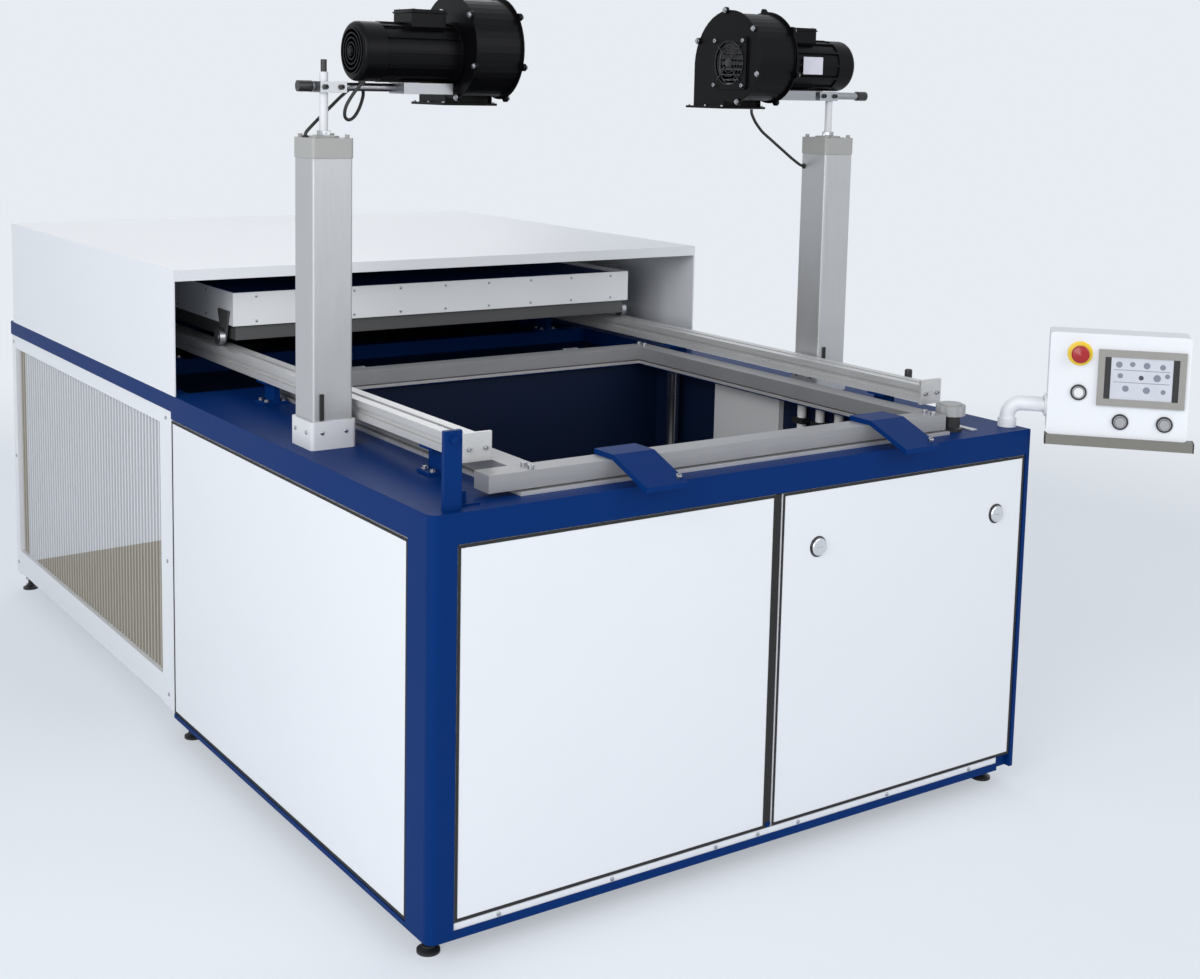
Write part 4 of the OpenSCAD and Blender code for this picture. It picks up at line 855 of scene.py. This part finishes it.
lead("left_fan_lead", LEFT_ROUTE, "fan_lead_left")
lead("right_fan_lead", RIGHT_ROUTE, "fan_lead_right")

# %% [markdown]
# ## Studio
#
# The photograph is a cut-out on a pale cool ground with a faint shadow. The floor is a wide pale
# disc, which fades into the colour of the world a few metres out, so that no horizon shows from
# any side. Near the machine the camera sees almost half of that colour, and the lamps' light and
# the shadow fill the rest, so the ground stays as even as the photograph's. The light comes
# mostly from the left and the front, because the posts' left faces are the bright ones.

# %% Floor, world and lamps
GROUND = (0.80, 0.84, 0.89)
FLOOR_REACH, FLOOR_RINGS, FLOOR_SPOKES = 40.0, 41, 96
FADE_FROM, FADE_TO, SEEN_SHARE = 1800.0, 5500.0, 0.45
disc_radius = np.linspace(0.0, FLOOR_REACH, FLOOR_RINGS)[:, None]
disc_turn = np.linspace(0, 2 * np.pi, FLOOR_SPOKES, endpoint=False)[None, :]
floor_disc = np.stack([disc_radius * np.cos(disc_turn), disc_radius * np.sin(disc_turn),
                       np.zeros((FLOOR_RINGS, FLOOR_SPOKES))], -1)
floor_mesh = bpy.data.meshes.new("floor")
floor_points, floor_faces = shell(floor_disc, lids=False)
floor_mesh.from_pydata(floor_points.tolist(), [], floor_faces)
floor_shader = Shader("floor")
ground_x, ground_y = floor_shader.drawing()[:2]
from_middle = ground_y - LENGTH / 2
out = (ground_x * ground_x + from_middle * from_middle) ** 0.5
far = floor_shader.node("MapRange", {}, Value=out, From_Min=FADE_FROM, From_Max=FADE_TO)
floor_shader.set(Base_Color=(*GROUND, 1), Roughness=0.9)
glow = floor_shader.node("Emission", {}, Color=(*GROUND, 1), Strength=1.0)
seen_share = floor_shader.node("LightPath", {}, output=0) * SEEN_SHARE
ground_share = floor_shader.node("Math", {"operation": "MAXIMUM"}, far, seen_share)
lit = Wire(floor_shader, floor_shader.surface.outputs[0])
faded = floor_shader.node("MixShader", {}, ground_share, lit, glow)
floor_shader.tree.links.new(faded.socket, floor_shader.tree.nodes["Material Output"].inputs[0])
floor_mesh.materials.append(floor_shader.material)
floor = bpy.data.objects.new("floor", floor_mesh)
bpy.context.scene.collection.objects.link(floor)

world = bpy.data.worlds.new("studio")
bpy.context.scene.world = world
world.use_nodes = True
tree = world.node_tree
paths = tree.nodes.new("ShaderNodeLightPath")
seen = tree.nodes.new("ShaderNodeMath")
seen.operation = "MAXIMUM"
tree.links.new(paths.outputs["Is Camera Ray"], seen.inputs[0])
tree.links.new(paths.outputs["Is Glossy Ray"], seen.inputs[1])
shown = tree.nodes.new("ShaderNodeMixShader")
ambient = tree.nodes["Background"]
ambient.inputs["Color"].default_value = (0.92, 0.95, 1.0, 1)
ambient.inputs["Strength"].default_value = 0.50
backdrop = tree.nodes.new("ShaderNodeBackground")
backdrop.inputs["Color"].default_value = (*GROUND, 1)
tree.links.new(seen.outputs[0], shown.inputs[0])
tree.links.new(ambient.outputs[0], shown.inputs[1])
tree.links.new(backdrop.outputs[0], shown.inputs[2])
tree.links.new(shown.outputs[0], tree.nodes["World Output"].inputs[0])


def lamp(name, place, aim, size, power):
    """A square area lamp at a place in metres, aimed at a point."""
    data = bpy.data.lights.new(name, "AREA")
    data.size, data.energy = size, power
    made = bpy.data.objects.new(name, data)
    matrix = np.eye(4)
    matrix[:3, :3] = axes_for(np.array(place, float) - np.array(aim, float)).T
    matrix[:3, 3] = place
    made.matrix_world = Matrix(matrix.tolist())
    bpy.context.scene.collection.objects.link(made)


lamp("key", (-6.0, -4.0, 3.4), (0, 0, 0.8), 5.0, 330)
lamp("front", (1.5, -6.5, 3.6), (0, -0.5, 0.8), 4.0, 105)
lamp("top", (0.5, 0.5, 6.5), (0, 0, 0.8), 4.0, 15)
lamp("behind", (2.0, 7.0, 5.0), (0, 0, 0.8), 5.0, 100)
bpy.context.scene.view_settings.view_transform = "Standard"
print("studio ready")
